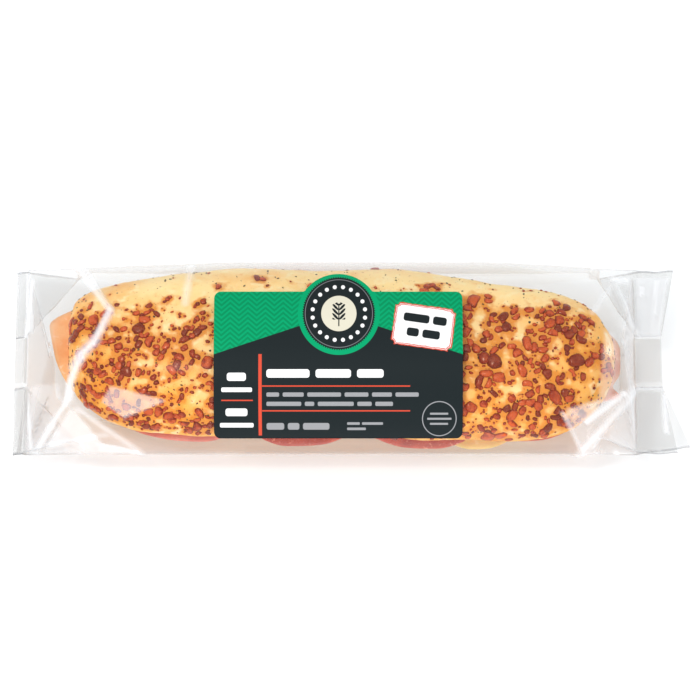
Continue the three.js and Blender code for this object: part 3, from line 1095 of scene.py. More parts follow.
@dataclass(frozen=True)
class LabelFinish(Finish):
    """The printed label: green herringbone, charcoal panel, crest, torn patch, plain rules and bars.

    Places on the print are millimetres across from its middle line and up from its lower edge.
    """

    name: str = "label"
    green: Colour = srgb(0, 148, 97)
    deep_green: Colour = srgb(0, 122, 77)
    charcoal: Colour = srgb(27, 34, 36)
    white: Colour = srgb(228, 228, 228)
    grey: Colour = srgb(140, 141, 144)
    orange: Colour = srgb(196, 72, 52)
    cream: Colour = srgb(204, 200, 182)
    soft: float = 0.07
    zigzag: float = 6.4
    zigzag_slope: float = 0.85
    stripe: float = 1.8
    panel_peak: float = 44.9
    panel_slope: float = 0.33
    crest_place: Place = (0.2, 44.7)
    crest_rim: float = 14.9
    crest_disc: float = 13.25
    crest_line: float = 12.2
    crest_teeth: float = 96.0
    dot_ring: float = 9.6
    dots: int = 20
    dot_radius: float = 0.72
    crest_middle: float = 6.4
    stamp_place: Place = (36.6, 7.1)
    stamp_radius: float = 6.1
    stamp_line: float = 0.17
    torn_place: Place = (30.9, 40.0)
    torn_turn: float = math.radians(8)
    torn_half: Place = (10.3, 6.9)
    notch_place: Place = (10.9, 7.5)
    notch_radius: float = 1.9
    tear_size: float = 1.6
    ear_step: float = 1.7
    ear_slope: float = -0.9
    grain_middle: float = 1.25
    grain_half: Place = (1.15, 0.62)

    def patch(self, s: Sock, t: Sock, low: Place, high: Place) -> Sock:
        """1 inside a rectangle of the print and 0 outside it."""
        inside = (s - low[0]).at_most(high[0] - s).at_most(t - low[1]).at_most(high[1] - t)
        return inside.step(-self.soft, self.soft)

    def bars(self, s: Sock, t: Sock, row: Bars) -> Sock:
        """A row of plain bars with rounded ends.

        Args:
            s: How far across the print the point lies.
            t: How far up it.
            row: The row's sizes.

        Returns:
            1 on the bars and 0 beside them.
        """
        shown = None
        for low, high in row.spans():
            across = (abs(s - (low + high) / 2) - ((high - low) / 2 - row.round)).at_least(0.0)
            upright = (abs(t - row.middle) - (row.thick / 2 - row.round)).at_least(0.0)
            out = (across * across + upright * upright).root()
            bar = (row.round - out).step(-self.soft, self.soft)
            shown = bar if shown is None else shown.at_least(bar)
        return shown

    def ears(self, s: Sock, t: Sock) -> Sock:
        """A plain ear of grain, upright about the origin.

        Args:
            s: How far across from the ear's middle the point lies.
            t: How far up from it.

        Returns:
            1 on the ear and its stem, and 0 beside them.
        """
        part = (t + abs(s) * self.ear_slope + 20.0) % self.ear_step - self.ear_step / 2
        wide = (abs(s) - self.grain_middle) / self.grain_half[0]
        tall = part / self.grain_half[1]
        grain = (1 - wide * wide - tall * tall).step(-0.1, 0.1)
        ear = grain * (t + 2.2).step(-0.1, 0.1) * (4.4 - t - abs(s) * 0.5).step(-0.1, 0.1)
        stem = self.patch(s, t, (-0.22, -4.6), (0.22, 3.6))
        return ear.at_least(stem)

    def print_colour(self, shade: Shade) -> Sock:
        """The printed colour over the label.

        Args:
            shade: The material the print is drawn in.

        Returns:
            The colour.
        """
        s, t = shade.layer("across"), shade.layer("up")
        zigzag = abs((s + 100.0) % self.zigzag - self.zigzag / 2)
        weave = ((t + zigzag * self.zigzag_slope + 50.0) % self.stripe).step(0.75, 0.95)
        colour = (weave * 0.8).blend(self.green, self.deep_green)
        panel = self.panel_peak - abs(s) * self.panel_slope - t
        colour = panel.step(-0.1, 0.1).blend(colour, self.charcoal)
        colour = self.torn_patch(s, t, colour)
        colour = self.crest(s - self.crest_place[0], t - self.crest_place[1], colour)
        for low, high in RULES:
            colour = self.patch(s, t, low, high).blend(colour, self.orange)
        for rows, ink in ((WHITE_BARS, self.white), (GREY_BARS, self.grey)):
            for row in rows:
                colour = self.bars(s, t, row).blend(colour, ink)
        across, up = s - self.stamp_place[0], t - self.stamp_place[1]
        out = (across * across + up * up).root()
        ring = (self.stamp_line - abs(out - self.stamp_radius)).step(-self.soft, self.soft)
        return ring.blend(colour, self.grey)

    def torn_patch(self, s: Sock, t: Sock, colour: Sock) -> Sock:
        """Lays a white paper patch with an uneven edge and a red outline over a colour.

        Args:
            s: How far across the print the point lies.
            t: How far up it.
            colour: The colour under the patch.

        Returns:
            The colour with the patch.
        """
        cos, sin = math.cos(self.torn_turn), math.sin(self.torn_turn)
        across, up = s - self.torn_place[0], t - self.torn_place[1]
        a = across * cos - up * sin
        b = across * sin + up * cos
        ragged = (s.shade.grain(s.shade.place(), self.tear_size, 3, 0.6) - 0.5) * 0.9
        from_side, from_top = abs(a) - self.notch_place[0], abs(b) - self.notch_place[1]
        notch = (from_side * from_side + from_top * from_top).root() - self.notch_radius
        inside = (self.torn_half[0] - abs(a)).at_most(self.torn_half[1] - abs(b)).at_most(notch) + ragged
        colour = (inside + 0.75).step(-0.08, 0.08).blend(colour, self.orange)
        colour = (inside + 0.35).step(-0.08, 0.08).blend(colour, self.white)
        colour = (0.14 - abs(inside + 0.05)).step(-0.06, 0.06).blend(colour, self.orange)
        upper, lower = (self.bars(a, b, row) for row in PATCH_BARS)
        return upper.at_least(lower).blend(colour, self.charcoal)

    def crest(self, s: Sock, t: Sock, colour: Sock) -> Sock:
        """Lays the crest over a colour: green rim, milled dark disc, ring of dots and cream middle.

        Args:
            s: How far across from the crest's middle the point lies.
            t: How far up from it.
            colour: The colour under the crest.

        Returns:
            The colour with the crest.
        """
        out = (s * s + t * t).root()
        turn = t.turn_from(s) / TURN
        milled = ((turn + 1.0) * self.crest_teeth % 1.0).step(0.3, 0.6) * 0.35
        colour = (self.crest_rim - out).step(-0.08, 0.08).blend(colour, self.green)
        colour = (self.crest_disc - out - milled).step(-0.06, 0.06).blend(colour, self.charcoal)
        line = (0.12 - abs(out - self.crest_line)).step(-0.06, 0.06)
        colour = (line * 0.6).blend(colour, self.grey)
        spot = ((turn + 1.0) * float(self.dots) % 1.0 - 0.5) * (self.dot_ring * TURN / self.dots)
        from_ring = out - self.dot_ring
        dots = self.dot_radius - (spot * spot + from_ring * from_ring).root()
        colour = dots.step(-0.07, 0.07).blend(colour, self.white)
        colour = (self.crest_middle - out).step(-0.07, 0.07).blend(colour, self.cream)
        return self.ears(s, t).blend(colour, self.charcoal)

    def material(self) -> bpy.types.Material:
        """Builds the label.

        Returns:
            The material.
        """
        shade = Shade(self.name)
        fine = shade.grain(shade.place(), 0.7, 2, 0.5)
        surface = shade.surface(
            Base_Color=self.print_colour(shade),
            Roughness=0.42 + fine * 0.12,
            Specular_IOR_Level=0.06,
            Normal=shade.bump(fine, 0.02, 0.3),
        )
        return shade.finish(surface)


@dataclass
class Label:
    """The label on the film: a rounded rectangle with a round crest, laid on the bag's form."""

    sheet: FilmSheet
    width: float = 90.2
    height: float = 52.6
    corner: float = 2.4
    crest_radius: float = 15.2
    crest_rise: float = 6.4
    middle: float = -4.795
    low_edge: float = -19.7
    raised: Place = (0.3, 0.55)
    columns: int = 190
    corner_columns: int = 8
    rows: int = 110

    def edges(self, s: np.ndarray) -> tuple[np.ndarray, np.ndarray]:
        """Lower and upper edge of the label.

        Args:
            s: Positions across the label from its middle.

        Returns:
            The height of the lower and of the upper edge at each position.
        """
        inset = np.maximum(0, np.abs(s) - (self.width / 2 - self.corner))
        round_off = self.corner - np.sqrt(np.maximum(0, self.corner**2 - inset**2))
        drop = self.crest_radius - self.crest_rise
        crest = self.height - drop + np.sqrt(np.maximum(0, self.crest_radius**2 - s**2))
        crest = np.where(np.abs(s) < self.crest_radius, crest, 0)
        return round_off, np.maximum(self.height - round_off, crest)

    def positions(self) -> np.ndarray:
        """Positions across the label, closer together at its rounded corners.

        Returns:
            The positions, rising.
        """
        half = self.width / 2 - 1e-3
        close = -half + self.corner * np.linspace(0, 1, self.corner_columns) ** 2
        s = np.concatenate([np.linspace(-half, half, self.columns), close])
        return np.unique(np.round(np.concatenate([s, -s]), 3))

    def strip(self, position: float, t: np.ndarray) -> tuple[np.ndarray, np.ndarray]:
        """One upright strip of the label, laid on the film.

        Args:
            position: Where across the label the strip lies.
            t: Heights up the label.

        Returns:
            The strip's points against the film and on its face, each (x, y, z).
        """
        ring = self.sheet.ring(position + self.middle)
        first = Panel.BACK_UPPER.value
        crown = ring[first : first + Panel.TOP.value + Panel.FRONT_UPPER.value][::-1]
        climb = crown @ View.up[1:]
        start = int(np.argmin(climb[: len(climb) // 2]))
        stop = start + int(np.argmax(climb[start:])) + 1
        crown, climb = crown[start:stop], climb[start:stop]
        normal = np.gradient(crown, axis=0)[:, ::-1] * (-1, 1)
        normal /= np.linalg.norm(normal, axis=1, keepdims=True)
        at = t + self.low_edge
        y, z, ny, nz = (np.interp(at, climb, values) for values in (*crown.T, *normal.T))
        x = np.full(len(t), position + self.middle)
        under, face = (np.column_stack([x, y + ny * off, z + nz * off]) for off in self.raised)
        return under, face

    def build(self) -> bpy.types.Object:
        """Makes the label with its print positions as layers.

        Returns:
            The piece.
        """
        s = self.positions()
        face, under, across, up = [], [], [], []
        for position, low, high in zip(s, *self.edges(s)):
            t = np.linspace(low, high, self.rows)
            back, front = self.strip(position, t)
            under.append(back)
            face.append(front)
            across.append(np.full(len(t), position))
            up.append(t)
        count, rows = len(s), self.rows
        points = np.concatenate([np.vstack(face), np.vstack(under)])
        grid = grid_faces(count, rows, False)
        total = count * rows
        rim = [i * rows for i in range(count)]
        rim += [(count - 1) * rows + j for j in range(1, rows)]
        rim += [i * rows + rows - 1 for i in reversed(range(count - 1))]
        rim += list(reversed(range(1, rows - 1)))
        faces = [quad[::-1] for quad in grid] + [tuple(total + v for v in quad) for quad in grid]
        faces += [(a, b, b + total, a + total) for a, b in zip(rim, rim[1:] + rim[:1])]
        layers = {"across": np.tile(np.concatenate(across), 2), "up": np.tile(np.concatenate(up), 2)}
        return make_mesh("pack_label", points, faces, **layers)


@dataclass(frozen=True)
class Station:
    """One section of half a roll: where along it, half its width, and where its middle lies across."""

    x: float
    half: float
    middle: float


@dataclass
class RollHalf:
    """One half of the roll as a closed, lumpy loaf."""

    name: str
    stations: tuple[Station, ...]
    edge_height: float
    rise: float
    drop: float
    rise_power: float
    drop_power: float
    seed: int
    rows: int = 250
    columns: int = 190
    least_half: float = 0.4
    rise_fall: float = 0.8
    drop_fullness: float = 1.6
    drop_fall: float = 0.7
    lumps: tuple[Place, ...] = ((24, 0.9), (8, 0.4), (2.6, 0.14))
    lumpy_from: Place = (2, 14)
    points: np.ndarray = field(init=False, repr=False)
    normals: np.ndarray = field(init=False, repr=False)
    along: np.ndarray = field(init=False, repr=False)
    around: np.ndarray = field(init=False, repr=False)

    def loaf(self) -> tuple[np.ndarray, np.ndarray]:
        """The loaf's even form, before its lumps.

        Returns:
            Its surface as rows by points by (x, y, z), and half the width at each row.
        """
        table = np.array([(section.x, section.half, section.middle) for section in self.stations])
        chord = run_lengths(table[:, :2])
        at = np.linspace(0, chord[-1], self.rows)
        x, half, middle = (spline(at, chord, table[:, k]) for k in range(3))
        half = np.maximum(half, self.least_half)
        angle = np.linspace(0, TURN, self.columns, endpoint=False)
        cos, sin = np.cos(angle), np.sin(angle)
        power = np.where(sin > 0, self.rise_power, self.drop_power)
        across = np.sign(cos) * np.abs(cos) ** (2 / power)
        upright = np.abs(sin) ** (2 / power)
        share = (half / table[:, 1].max())[:, None]
        rise = self.rise * share**self.rise_fall
        drop = -self.drop * np.minimum(1, share * self.drop_fullness) ** self.drop_fall
        height = np.where(sin > 0, rise, drop) * upright
        length = np.repeat(x[:, None], self.columns, 1)
        width = middle[:, None] + half[:, None] * across
        return np.stack([length, width, self.edge_height + height], 2), half

    def build(self) -> bpy.types.Object:
        """Makes the loaf, and keeps its surface for what lies on it.

        Returns:
            The piece.
        """
        rows, half = self.loaf()
        even = rows.reshape(-1, 3)
        depths = [ripple(even, size, self.seed + i) * depth for i, (size, depth) in enumerate(self.lumps)]
        lumps = sum(depths) * np.repeat(smooth(half, *self.lumpy_from), self.columns)
        rows = (even + grid_normals(rows).reshape(-1, 3) * lumps[:, None]).reshape(rows.shape)
        self.points, self.normals = rows.reshape(-1, 3), grid_normals(rows).reshape(-1, 3)
        self.along = np.linalg.norm(np.gradient(rows, axis=0), axis=2).reshape(-1)
        self.around = np.linalg.norm(np.roll(rows, -1, 1) - rows, axis=2).reshape(-1)
        faces = grid_faces(self.rows, self.columns, True)
        last = (self.rows - 1) * self.columns
        faces += [tuple(range(self.columns))[::-1], tuple(range(last, last + self.columns))]
        layers = {"browning_and_shade": self.browning_and_shade(), "stain": np.zeros(len(self.points))}
        return make_mesh(self.name, self.points, faces, **layers)

    def browning_and_shade(self) -> np.ndarray:
        """How brown each point is: real browning, golden on top and at the ends, with painted shade
        deepening it low down in front and painted light leaving the far shoulder pale.

        Ranges are places in millimetres.

        Returns:
            A depth for each point, from about 0 to 1.
        """
        x, y, z = self.points.T
        # Painted shade towards the front and low down; real browning towards the ends.
        near = smooth(-y, -30, 36)
        low = smooth(30 - z, 0, 12) * smooth(-y, 5, 30)
        ends = smooth(np.abs(x), 60, 104)
        return 0.1 + 0.42 * near + 0.4 * low + 0.32 * ends


def top_half() -> RollHalf:
    """The crown of the roll.

    Returns:
        The half, ready to build.
    """
    stations = (
        Station(-103.4, 0.4, 5.2),
        Station(-103.2, 7.0, 5.2),
        Station(-102.4, 12.8, 4.6),
        Station(-100.6, 17.6, 2.8),
        Station(-95.0, 22.5, 0.9),
        Station(-88.0, 26.0, -0.4),
        Station(-77.0, 29.1, -1.2),
        Station(-60.0, 31.5, -0.6),
        Station(-20.0, 32.6, -0.5),
        Station(18.0, 32.5, -0.9),
        Station(43.0, 30.4, -3.0),
        Station(65.0, 28.7, -4.6),
        Station(76.0, 26.6, -4.5),
        Station(85.5, 21.6, -3.6),
        Station(91.5, 15.4, -2.8),
        Station(95.4, 7.5, -2.4),
        Station(96.4, 0.4, -2.4),
    )
    return RollHalf(
        "roll_top",
        stations,
        edge_height=25.0,
        rise=22.0,
        drop=5.5,
        rise_power=2.25,
        drop_power=4.0,
        seed=3,
    )


def bottom_half() -> RollHalf:
    """The base of the roll.

    Returns:
        The half, ready to build.
    """
    stations = (
        Station(-103.0, 0.4, 0.0),
        Station(-101.0, 9.0, 0.0),
        Station(-94.0, 17.0, 0.4),
        Station(-80.0, 22.5, 0.6),
        Station(-55.0, 25.8, 0.6),
        Station(0.0, 26.8, 0.6),
        Station(45.0, 25.6, -0.4),
        Station(72.0, 21.0, -1.4),
        Station(85.0, 14.0, -2.0),
        Station(91.0, 7.0, -2.4),
        Station(92.5, 0.4, -2.4),
    )
    return RollHalf(
        "roll_base",
        stations,
        edge_height=13.0,
        rise=4.0,
        drop=12.0,
        rise_power=3.6,
        drop_power=3.2,
        seed=9,
        rows=150,
        columns=110,
    )


@dataclass
class Slice:
    """One thin slice of filling with a ruffled edge, from its outline in plan."""

    name: str
    outline: Outline
    height: float
    finish: Finish
    slot: str
    seed: int
    thickness: float
    ruffle: float
    ruffle_size: float
    droop: float
    around: int = 180
    rings: int = 34
    middle_share: float = 0.02
    edge: Place = (0.75, 1.0)
    edge_power: float = 24

    def build(self) -> bpy.types.Object:
        """Makes the slice.

        Returns:
            The piece.
        """
        corners = np.array([*self.outline, self.outline[0]])
        chord = run_lengths(corners)
        at = np.linspace(0, chord[-1], self.around, endpoint=False)
        wide = np.concatenate([chord[:-1] - chord[-1], chord, chord[1:] + chord[-1]])
        loop = np.concatenate([corners[:-1], corners, corners[1:]])
        rim = np.stack([spline(at, wide, loop[:, k]) for k in (0, 1)], 1)
        centre = rim.mean(0)
        shares = np.linspace(self.middle_share, 1, self.rings)
        plan = centre + shares[:, None, None] * (rim - centre)
        flat = np.column_stack([plan.reshape(-1, 2), np.zeros(plan.size // 2)])
        out = np.repeat(shares, self.around)
        edge = smooth(out, *self.edge)
        wave = ripple(flat, self.ruffle_size, self.seed) * self.ruffle * edge
        z = self.height + wave - self.droop * edge
        thick = self.thickness * np.sqrt(1 - np.clip(out, 0, 0.999) ** self.edge_power)
        top = np.column_stack([flat[:, :2], z + thick / 2])
        under = np.column_stack([flat[:, :2], z - thick / 2])
        count = len(top)
        sides = grid_faces(self.rings, self.around, True)
        faces = sides + [tuple(count + v for v in face[::-1]) for face in sides]
        last = count - self.around
        for i in range(self.around):
            a, b = last + i, last + (i + 1) % self.around
            faces.append((a, b, count + b, count + a))
        faces += [tuple(range(self.around))[::-1], tuple(range(count, count + self.around))]
        return make_mesh(self.name, np.concatenate([top, under]), faces)


def round_outline(x: float, y: float, radius: float, phase: int) -> Outline:
    """A nearly round slice's outline in plan.

    Args:
        x: Where its middle lies along the pack.
        y: Where its middle lies across the pack.
        radius: Its radius.
        phase: How its three low bulges are turned, in radians.

    Returns:
        The outline's points.
    """
    angles = np.linspace(0, TURN, 18, endpoint=False)
    reach = radius * (1 + 0.02 * np.sin(angles * 3 + phase))
    return tuple(zip(x + reach * np.cos(angles), y + reach * np.sin(angles)))


HAM = MeatFinish("ham", srgb(240, 182, 122), srgb(234, 158, 90), srgb(248, 206, 172), 3.0, 0.64)
PALE_HAM = MeatFinish("pale_ham", srgb(236, 196, 178), srgb(222, 168, 150), srgb(250, 226, 214), 3.0, 0.62)
PINK_HAM = MeatFinish("pink_ham", srgb(214, 128, 112), srgb(196, 104, 92), srgb(240, 180, 160), 2.6, 0.62)
SALAMI = MeatFinish("salami", srgb(206, 94, 72), srgb(184, 72, 56), srgb(234, 160, 136), 1.5, 0.6)
CHEESE = MeatFinish("cheese_slice", srgb(246, 214, 140), srgb(240, 202, 122), srgb(252, 230, 170), 6.0, 0.6)

LEFT_HAM_OUTLINE = (
    *((-111.2, 14.6), (-109.8, 6), (-108, -1.5), (-102, -12), (-88, -21.5), (-60, -29.5)),
    *((-20, -30), (0, -27), (2, 0), (0, 28), (-60, 27), (-90, 23), (-104, 20)),
)
RIGHT_HAM_OUTLINE = (
    *((20, 20), (60, 22), (86, 15), (95.5, 10.5), (98.8, 4), (98.6, -4.5), (95.8, -10.4)),
    *((98.6, -13.8), (91, -16.5), (78, -21), (50, -26), (20, -27), (16, 0)),
)
FOLD_OUTLINE = (
    *((-86, -20), (-80, -26.5), (-68, -30.6), (-54, -31.6), (-46, -29)),
    *((-44, -18), (-48, 4), (-66, 10), (-82, 2)),
)
CHEESE_OUTLINE = (
    *((36, -31.0), (44, -33.9), (51, -33.4), (58, -30.0), (78, -8)),
    *((60, 12), (40, 24), (22, 4), (24, -14)),
)


def filling() -> list[Slice]:
    """The slices between the two halves of the roll, as far as they show.

    Returns:
        The slices, ready to build.
    """
    salami_left = round_outline(-17, 1.5, 34.6, 1)
    salami_right = round_outline(25, -0.8, 33.8, 4)
    salami_end = round_outline(65, -6.4, 25.6, 2)
    return [
        Slice("ham_left", LEFT_HAM_OUTLINE, 19.2, HAM, "meat", 21, 1.3, 1.2, 15.0, 0.5),
        Slice("ham_fold", FOLD_OUTLINE, 17.9, PINK_HAM, "meat", 26, 1.3, 0.9, 12.0, 0.8),
        Slice("ham_right", RIGHT_HAM_OUTLINE, 19.0, PALE_HAM, "meat", 22, 1.3, 0.9, 12.0, 0.5),
        Slice("salami_left", salami_left, 17.4, SALAMI, "meat", 23, 1.1, 0.7, 18.0, 1.0),
        Slice("salami_right", salami_right, 17.0, SALAMI, "meat", 24, 1.1, 0.7, 18.0, 1.0),
        Slice("salami_end", salami_end, 17.9, SALAMI, "meat", 27, 1.1, 0.6, 18.0, 0.6),
        Slice("cheese_slice", CHEESE_OUTLINE, 16.2, CHEESE, "toasted_cheese", 25, 1.4, 0.5, 20.0, 1.0),
    ]


def unit_ball(level: int) -> tuple[np.ndarray, np.ndarray]:
    """A unit ball.

    Args:
        level: How finely it is faceted.

    Returns:
        Its points, and its faces as vertex numbers.
    """
    mesh = bmesh.new()
    bmesh.ops.create_icosphere(mesh, subdivisions=level, radius=1.0)
    mesh.verts.ensure_lookup_table()
    points = np.array([vert.co[:] for vert in mesh.verts])
    faces = np.array([[vert.index for vert in face.verts] for face in mesh.faces])
    mesh.free()
    return points, faces


@dataclass(frozen=True)
class Bit:
    """One bit of topping: where it lies, which way it faces, and its length."""

    place: np.ndarray
    normal: np.ndarray
    length: float


@dataclass
class Topping:
    """Toasted cheese bits melted on the crown, in clusters and as crumbs, thickest over its near side."""

    roll: RollHalf
    clusters: int = 600
    chain: int = 4
    crumbs: int = 1150
    seed: int = 11
    shortest: float = 2.5
    longest: float = 6.8
    crumb: Place = (0.55, 1.8)
    closeness: float = 0.3
    lowest: float = 21
    wander: float = 0.7
    width: Place = (0.52, 0.88)
    thickness: Place = (0.28, 0.4)
    least_thick: float = 0.5
    bluntness: float = 0.8
    lumpiness: float = 0.3
    lump_size: float = 0.8
    bend: float = 0.7
    sunk: float = 0.06
    smooth_from: float = 2.7
    stain_reach: float = 1.4
    stain_strength: float = 0.6
    bits: list[Bit] = field(default_factory=list)
    reaches: list[float] = field(default_factory=list)

    def density(self) -> np.ndarray:
        """How likely a bit lies at each point of the crown.

        Ranges are millimetres along the pack and up the plane it is seen in, or shares of a normal.

        Returns:
            A weight for each point.
        """
        points, normals = self.roll.points, self.roll.normals
        x, up = points[:, 0], View.flat(points)[:, 1]
        thick = 1 - 0.93 * smooth(up - 7 * smooth(x, 34, 46) - 2 * smooth(-x, 40, 50), 10, 25)
        far_side = 1 - 0.94 * smooth(normals[:, 1], 0.12, 0.55)
        above_label = 0.7 * smooth(-np.hypot((x - 22) / 10, (up - 27) / 1.8), -1, -0.6)
        near_left = 0.7 * smooth(-up, 10, 20) * smooth(-x, 45, 65)
        ends = (1 - 0.9 * smooth(-x, 92, 106)) * (1 - 0.88 * smooth(x, 83, 91))
        open_side = smooth(normals[:, 2], -0.1, 0.25) * smooth(points[:, 2], 20.5, 25)
        patches = 1.0 + 0.45 * smooth(ripple(points, 15, self.seed), -0.3, 0.35)
        return (thick * far_side + above_label + near_left) * ends * open_side * patches

    def lay(self, index: int, length: float) -> None:
        """Lays a bit down where it has room.

        Args:
            index: The point of the crown that it lies on.
            length: The bit's length.
        """
        place = self.roll.points[index]
        for other in self.bits:
            reach = self.closeness * (length + other.length)
            close = abs(place[0] - other.place[0]) < reach
            if close and np.linalg.norm(place - other.place) < reach:
                return
        self.bits.append(Bit(place, self.roll.normals[index], length))

    def scatter(self, random: np.random.Generator) -> None:
        """Chooses where the clusters and the crumbs lie.

        Args:
            random: Where places and lengths are drawn from.
        """
        points, normals = self.roll.points, self.roll.normals
        weight = self.density() * self.roll.along * self.roll.around
        tree = finder(points)
        for start in random.choice(len(points), self.clusters, p=weight / weight.sum()):
            index = int(start)
            largest = self.shortest + (self.longest - self.shortest) * random.beta(1.3, 2.2)
            heading = random.normal(size=3)
            for _ in range(int(random.integers(1, self.chain))):
                larger_right = np.interp(points[index][0], (-70, 40), (0.94, 1.1))
                length = largest * random.uniform(0.6, 1.0) * larger_right
                if normals[index][2] > -0.1 and points[index][2] > self.lowest:
                    self.lay(index, length)
                heading = heading + random.normal(0, self.wander, 3)
                ahead = heading - normals[index] * (heading @ normals[index])
                step = ahead / np.linalg.norm(ahead) * length * random.uniform(0.62, 0.85)
                index = tree.find(Vector(points[index] + step))[1]
        weight = weight + 0.25 * weight.mean() * (weight > 0)
        for index in random.choice(len(points), self.crumbs, p=weight / weight.sum()):
            self.lay(index, random.uniform(*self.crumb))

    def build(self) -> bpy.types.Object:
        """Makes the bits as one mesh.

        Returns:
            The piece.
        """
        random = np.random.default_rng(self.seed)
        self.scatter(random)
        coarse, fine = unit_ball(1), unit_ball(2)
        points, faces, dome_shading, tone = [], [], [], []
        count = 0
        for bit in self.bits:
            ball, ball_faces = fine if bit.length > self.smooth_from else coarse
            width = bit.length * random.uniform(*self.width)
            thick = bit.length * random.uniform(*self.thickness) + self.least_thick
            lump = ripple(ball, self.lump_size, int(random.integers(1, 900)))
            blunt = np.sign(ball) * np.abs(ball) ** self.bluntness
            shape = blunt * (bit.length / 2, width / 2, thick / 2) * (1 + self.lumpiness * lump[:, None])
            shape[:, 1] += random.uniform(-self.bend, self.bend) * (shape[:, 0] ** 2) / bit.length
            axes = lying_axes(bit.normal, random)
            points.append(bit.place - bit.normal * (thick * self.sunk) + shape @ axes)
            faces.append(ball_faces + count)
            count += len(ball)
            # How high each point sits on its bit; the finish paints shade at the rim and light on top from
            # it.
            dome_shading.append(np.clip(ball[:, 2] * 0.8 + 0.25 + lump * 0.5, 0, 1))
            tone.append(np.full(len(ball), random.uniform()))
            self.reaches.append((bit.length + width) / 4)
        layers = {"dome_shading": np.concatenate(dome_shading), "tone": np.concatenate(tone)}
        return make_mesh("toasted_topping", np.concatenate(points), np.concatenate(faces), **layers)

    def stain(self, piece: bpy.types.Object) -> None:
        """Marks on the crown's mesh how near each point is to the bits.

        Args:
            piece: The crown.
        """
        tree = finder(np.array([bit.place for bit in self.bits]))
        values = np.zeros(len(self.roll.points), np.float32)
        for index, point in enumerate(self.roll.points):
            for _, bit, gap in tree.find_n(Vector(point), 5):
                spread = self.stain_reach * self.reaches[bit] + 0.5
                away = max(0.0, gap - self.reaches[bit]) / spread
                values[index] += max(0.0, 1 - away) * self.stain_strength
        piece.data.attributes["stain"].data.foreach_set("value", values)


@dataclass
class Herbs:
    """Dried herb flecks scattered over the crown."""

    roll: RollHalf
    count: int = 420
    seed: int = 5
    lowest: float = 24
    length: Place = (0.22, 0.62)
    slimness: Place = (0.4, 0.8)
    thickness: float = 0.16
    roughness: Place = (0.75, 1.25)
    raised: float = 0.08

    def build(self) -> bpy.types.Object:
        """Makes the flecks as one mesh of small thin flakes.

        Returns:
            The piece.
        """
        random = np.random.default_rng(self.seed)
        points, normals = self.roll.points, self.roll.normals
        open_side = np.flatnonzero((normals[:, 2] > 0.05) & (points[:, 2] > self.lowest))
        weight = self.roll.along[open_side]
        ball, ball_faces = unit_ball(1)
        flakes, faces, tone = [], [], []
        chosen = random.choice(open_side, self.count, p=weight / weight.sum())
        for number, index in enumerate(chosen):
            axes = lying_axes(normals[index], random)
            length = random.uniform(*self.length)
            shape = ball * (length, length * random.uniform(*self.slimness), self.thickness)
            shape = shape * random.uniform(*self.roughness, (len(ball), 1))
            flakes.append(points[index] + normals[index] * self.raised + shape @ axes)
            faces.append(ball_faces + number * len(ball))
            tone.append(np.full(len(ball), random.uniform()))
        layers = {"tone": np.concatenate(tone)}
        return make_mesh("herb_flecks", np.concatenate(flakes), np.concatenate(faces), **layers)


@dataclass(frozen=True)
class FloorFinish(Finish):
    """Plain pale studio floor, lit a little from below."""

    name: str = "studio_floor"
    colour: Colour = (0.67, 0.69, 0.705)
    cloud: Colour = (0.69, 0.7, 0.705)
    cloud_size: float = 400
    glow: Colour = (0.93, 0.97, 1.0)
    glow_strength: float = 0.27

    def material(self) -> bpy.types.Material:
        """Builds the floor.

        Returns:
            The material.
        """
        shade = Shade(self.name)
        clouds = shade.grain(shade.place(), self.cloud_size, 1, 0.5)
        surface = shade.surface(
            Base_Color=(clouds * 0.2).blend(self.colour, self.cloud),
            Roughness=0.9,
            Specular_IOR_Level=0.1,
            Emission_Color=self.glow,
            Emission_Strength=self.glow_strength,
        )
        return shade.finish(surface)


@dataclass(frozen=True)
class Lamp:
    """One soft light: where it hangs, its size and power, and whether glossy things mirror it."""

    name: str
    place: tuple[float, float, float]
    size: Place
    watts: float
    mirrored: bool = True


LAMPS = (
    Lamp("overhead", (-0.15, 0.15, 1.2), (1.2, 0.9), 1.8),
    Lamp("key", (-0.25, -0.2, 1.0), (0.14, 0.14), 3.0),
    Lamp("near_fill", (0.0, -1.1, 0.5), (1.8, 0.7), 9.0, mirrored=False),
    Lamp("near_strip", (0.0, -0.9, 0.35), (1.2, 0.12), 0.8),
    Lamp("left_strip", (-0.8, 0.3, 0.35), (0.15, 0.8), 1.2),
    Lamp("right_strip", (0.9, 0.2, 0.4), (0.15, 0.8), 1.2),
)


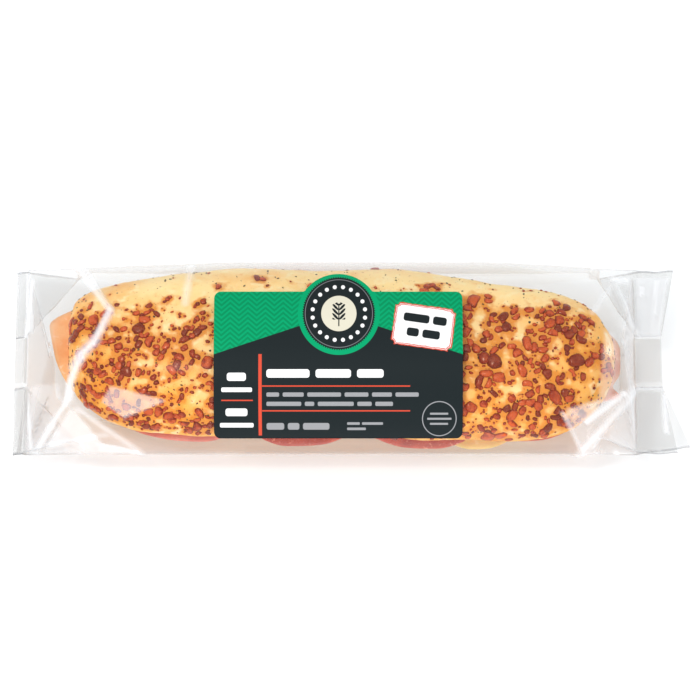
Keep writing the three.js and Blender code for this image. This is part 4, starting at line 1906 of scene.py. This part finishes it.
@dataclass
class Studio:
    """Floor, soft light and the camera at the photograph's angle."""

    floor_half: float = 4000
    sky_strength: float = 0.84
    lamps_aim: tuple[float, float, float] = (0, 0, 0.02)
    distance: float = 2.2
    lens: float = 308.0
    sensor: float = 36.0
    clip: Place = (0.05, 20.0)
    aim: tuple[float, float, float] = (-0.55, 3.99, 19.86)

    def lay_floor(self) -> None:
        """Lays the floor."""
        signs = ((-1, -1), (1, -1), (1, 1), (-1, 1))
        corners = np.array([(x * self.floor_half, y * self.floor_half, 0) for x, y in signs])
        floor = make_mesh("floor", corners, [(0, 1, 2, 3)])
        FloorFinish().dress(floor)

    def light(self, lamp: Lamp) -> None:
        """Hangs a soft rectangular light aimed at the pack.

        Args:
            lamp: The light.
        """
        data = bpy.data.lights.new(lamp.name, "AREA")
        data.shape = "RECTANGLE"
        data.size, data.size_y = lamp.size
        data.energy = lamp.watts
        made = bpy.data.objects.new(lamp.name, data)
        made.location = lamp.place
        towards = Vector(self.lamps_aim) - Vector(lamp.place)
        made.rotation_euler = towards.to_track_quat("-Z", "Y").to_euler()
        made.visible_glossy = lamp.mirrored
        bpy.context.collection.objects.link(made)

    def light_sky(self) -> None:
        """Fills the surroundings with even white light."""
        world = bpy.data.worlds.new("studio_light")
        world.use_nodes = True
        sky = world.node_tree.nodes["Background"]
        sky.inputs["Color"].default_value = (1, 1, 1, 1)
        sky.inputs["Strength"].default_value = self.sky_strength
        bpy.context.scene.world = world

    def set_camera(self) -> None:
        """Sets the camera at the photograph's angle."""
        camera = bpy.data.cameras.new("camera")
        camera.lens, camera.sensor_width = self.lens, self.sensor
        camera.clip_start, camera.clip_end = self.clip
        eye = bpy.data.objects.new("camera", camera)
        back = Vector(View.towards)
        eye.location = Vector(self.aim) * MM + back * self.distance
        eye.rotation_euler = (-back).to_track_quat("-Z", "Y").to_euler()
        bpy.context.collection.objects.link(eye)
        bpy.context.scene.camera = eye

    def build(self) -> None:
        """Sets the stage."""
        self.lay_floor()
        self.light_sky()
        for lamp in LAMPS:
            self.light(lamp)
        bpy.context.scene.view_settings.view_transform = "Standard"
        self.set_camera()


def settle(piece: bpy.types.Object, finish: Finish) -> bpy.types.Object:
    """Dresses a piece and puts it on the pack.

    Args:
        piece: The piece.
        finish: How it looks.

    Returns:
        The piece.
    """
    finish.dress(piece)
    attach(piece, "root")
    LOG.info("%s: %d faces", piece.name, len(piece.data.polygons))
    return piece


def main() -> None:
    """Builds the pack piece by piece."""
    logging.basicConfig(level=logging.INFO, format="%(message)s")
    top, base = top_half(), bottom_half()
    crown = settle(top.build(), CrustFinish())
    bottom = settle(base.build(), CrustFinish("base_crust", pale=srgb(236, 206, 160)))
    slices = [settle(item.build(), item.finish) for item in filling()]
    topping = Topping(top)
    bits = settle(topping.build(), ToppingFinish())
    topping.stain(crown)
    herbs = settle(Herbs(top).build(), HerbFinish())
    sheet = FilmSheet(BagForm())
    film = settle(sheet.build(), FilmFinish())
    for piece in (film, crown, bottom, bits, herbs, *slices):
        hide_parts("bag")
    label = settle(Label(sheet).build(), LabelFinish())
    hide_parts("label")
    Studio().build()


if __name__ == "__main__":
    main()
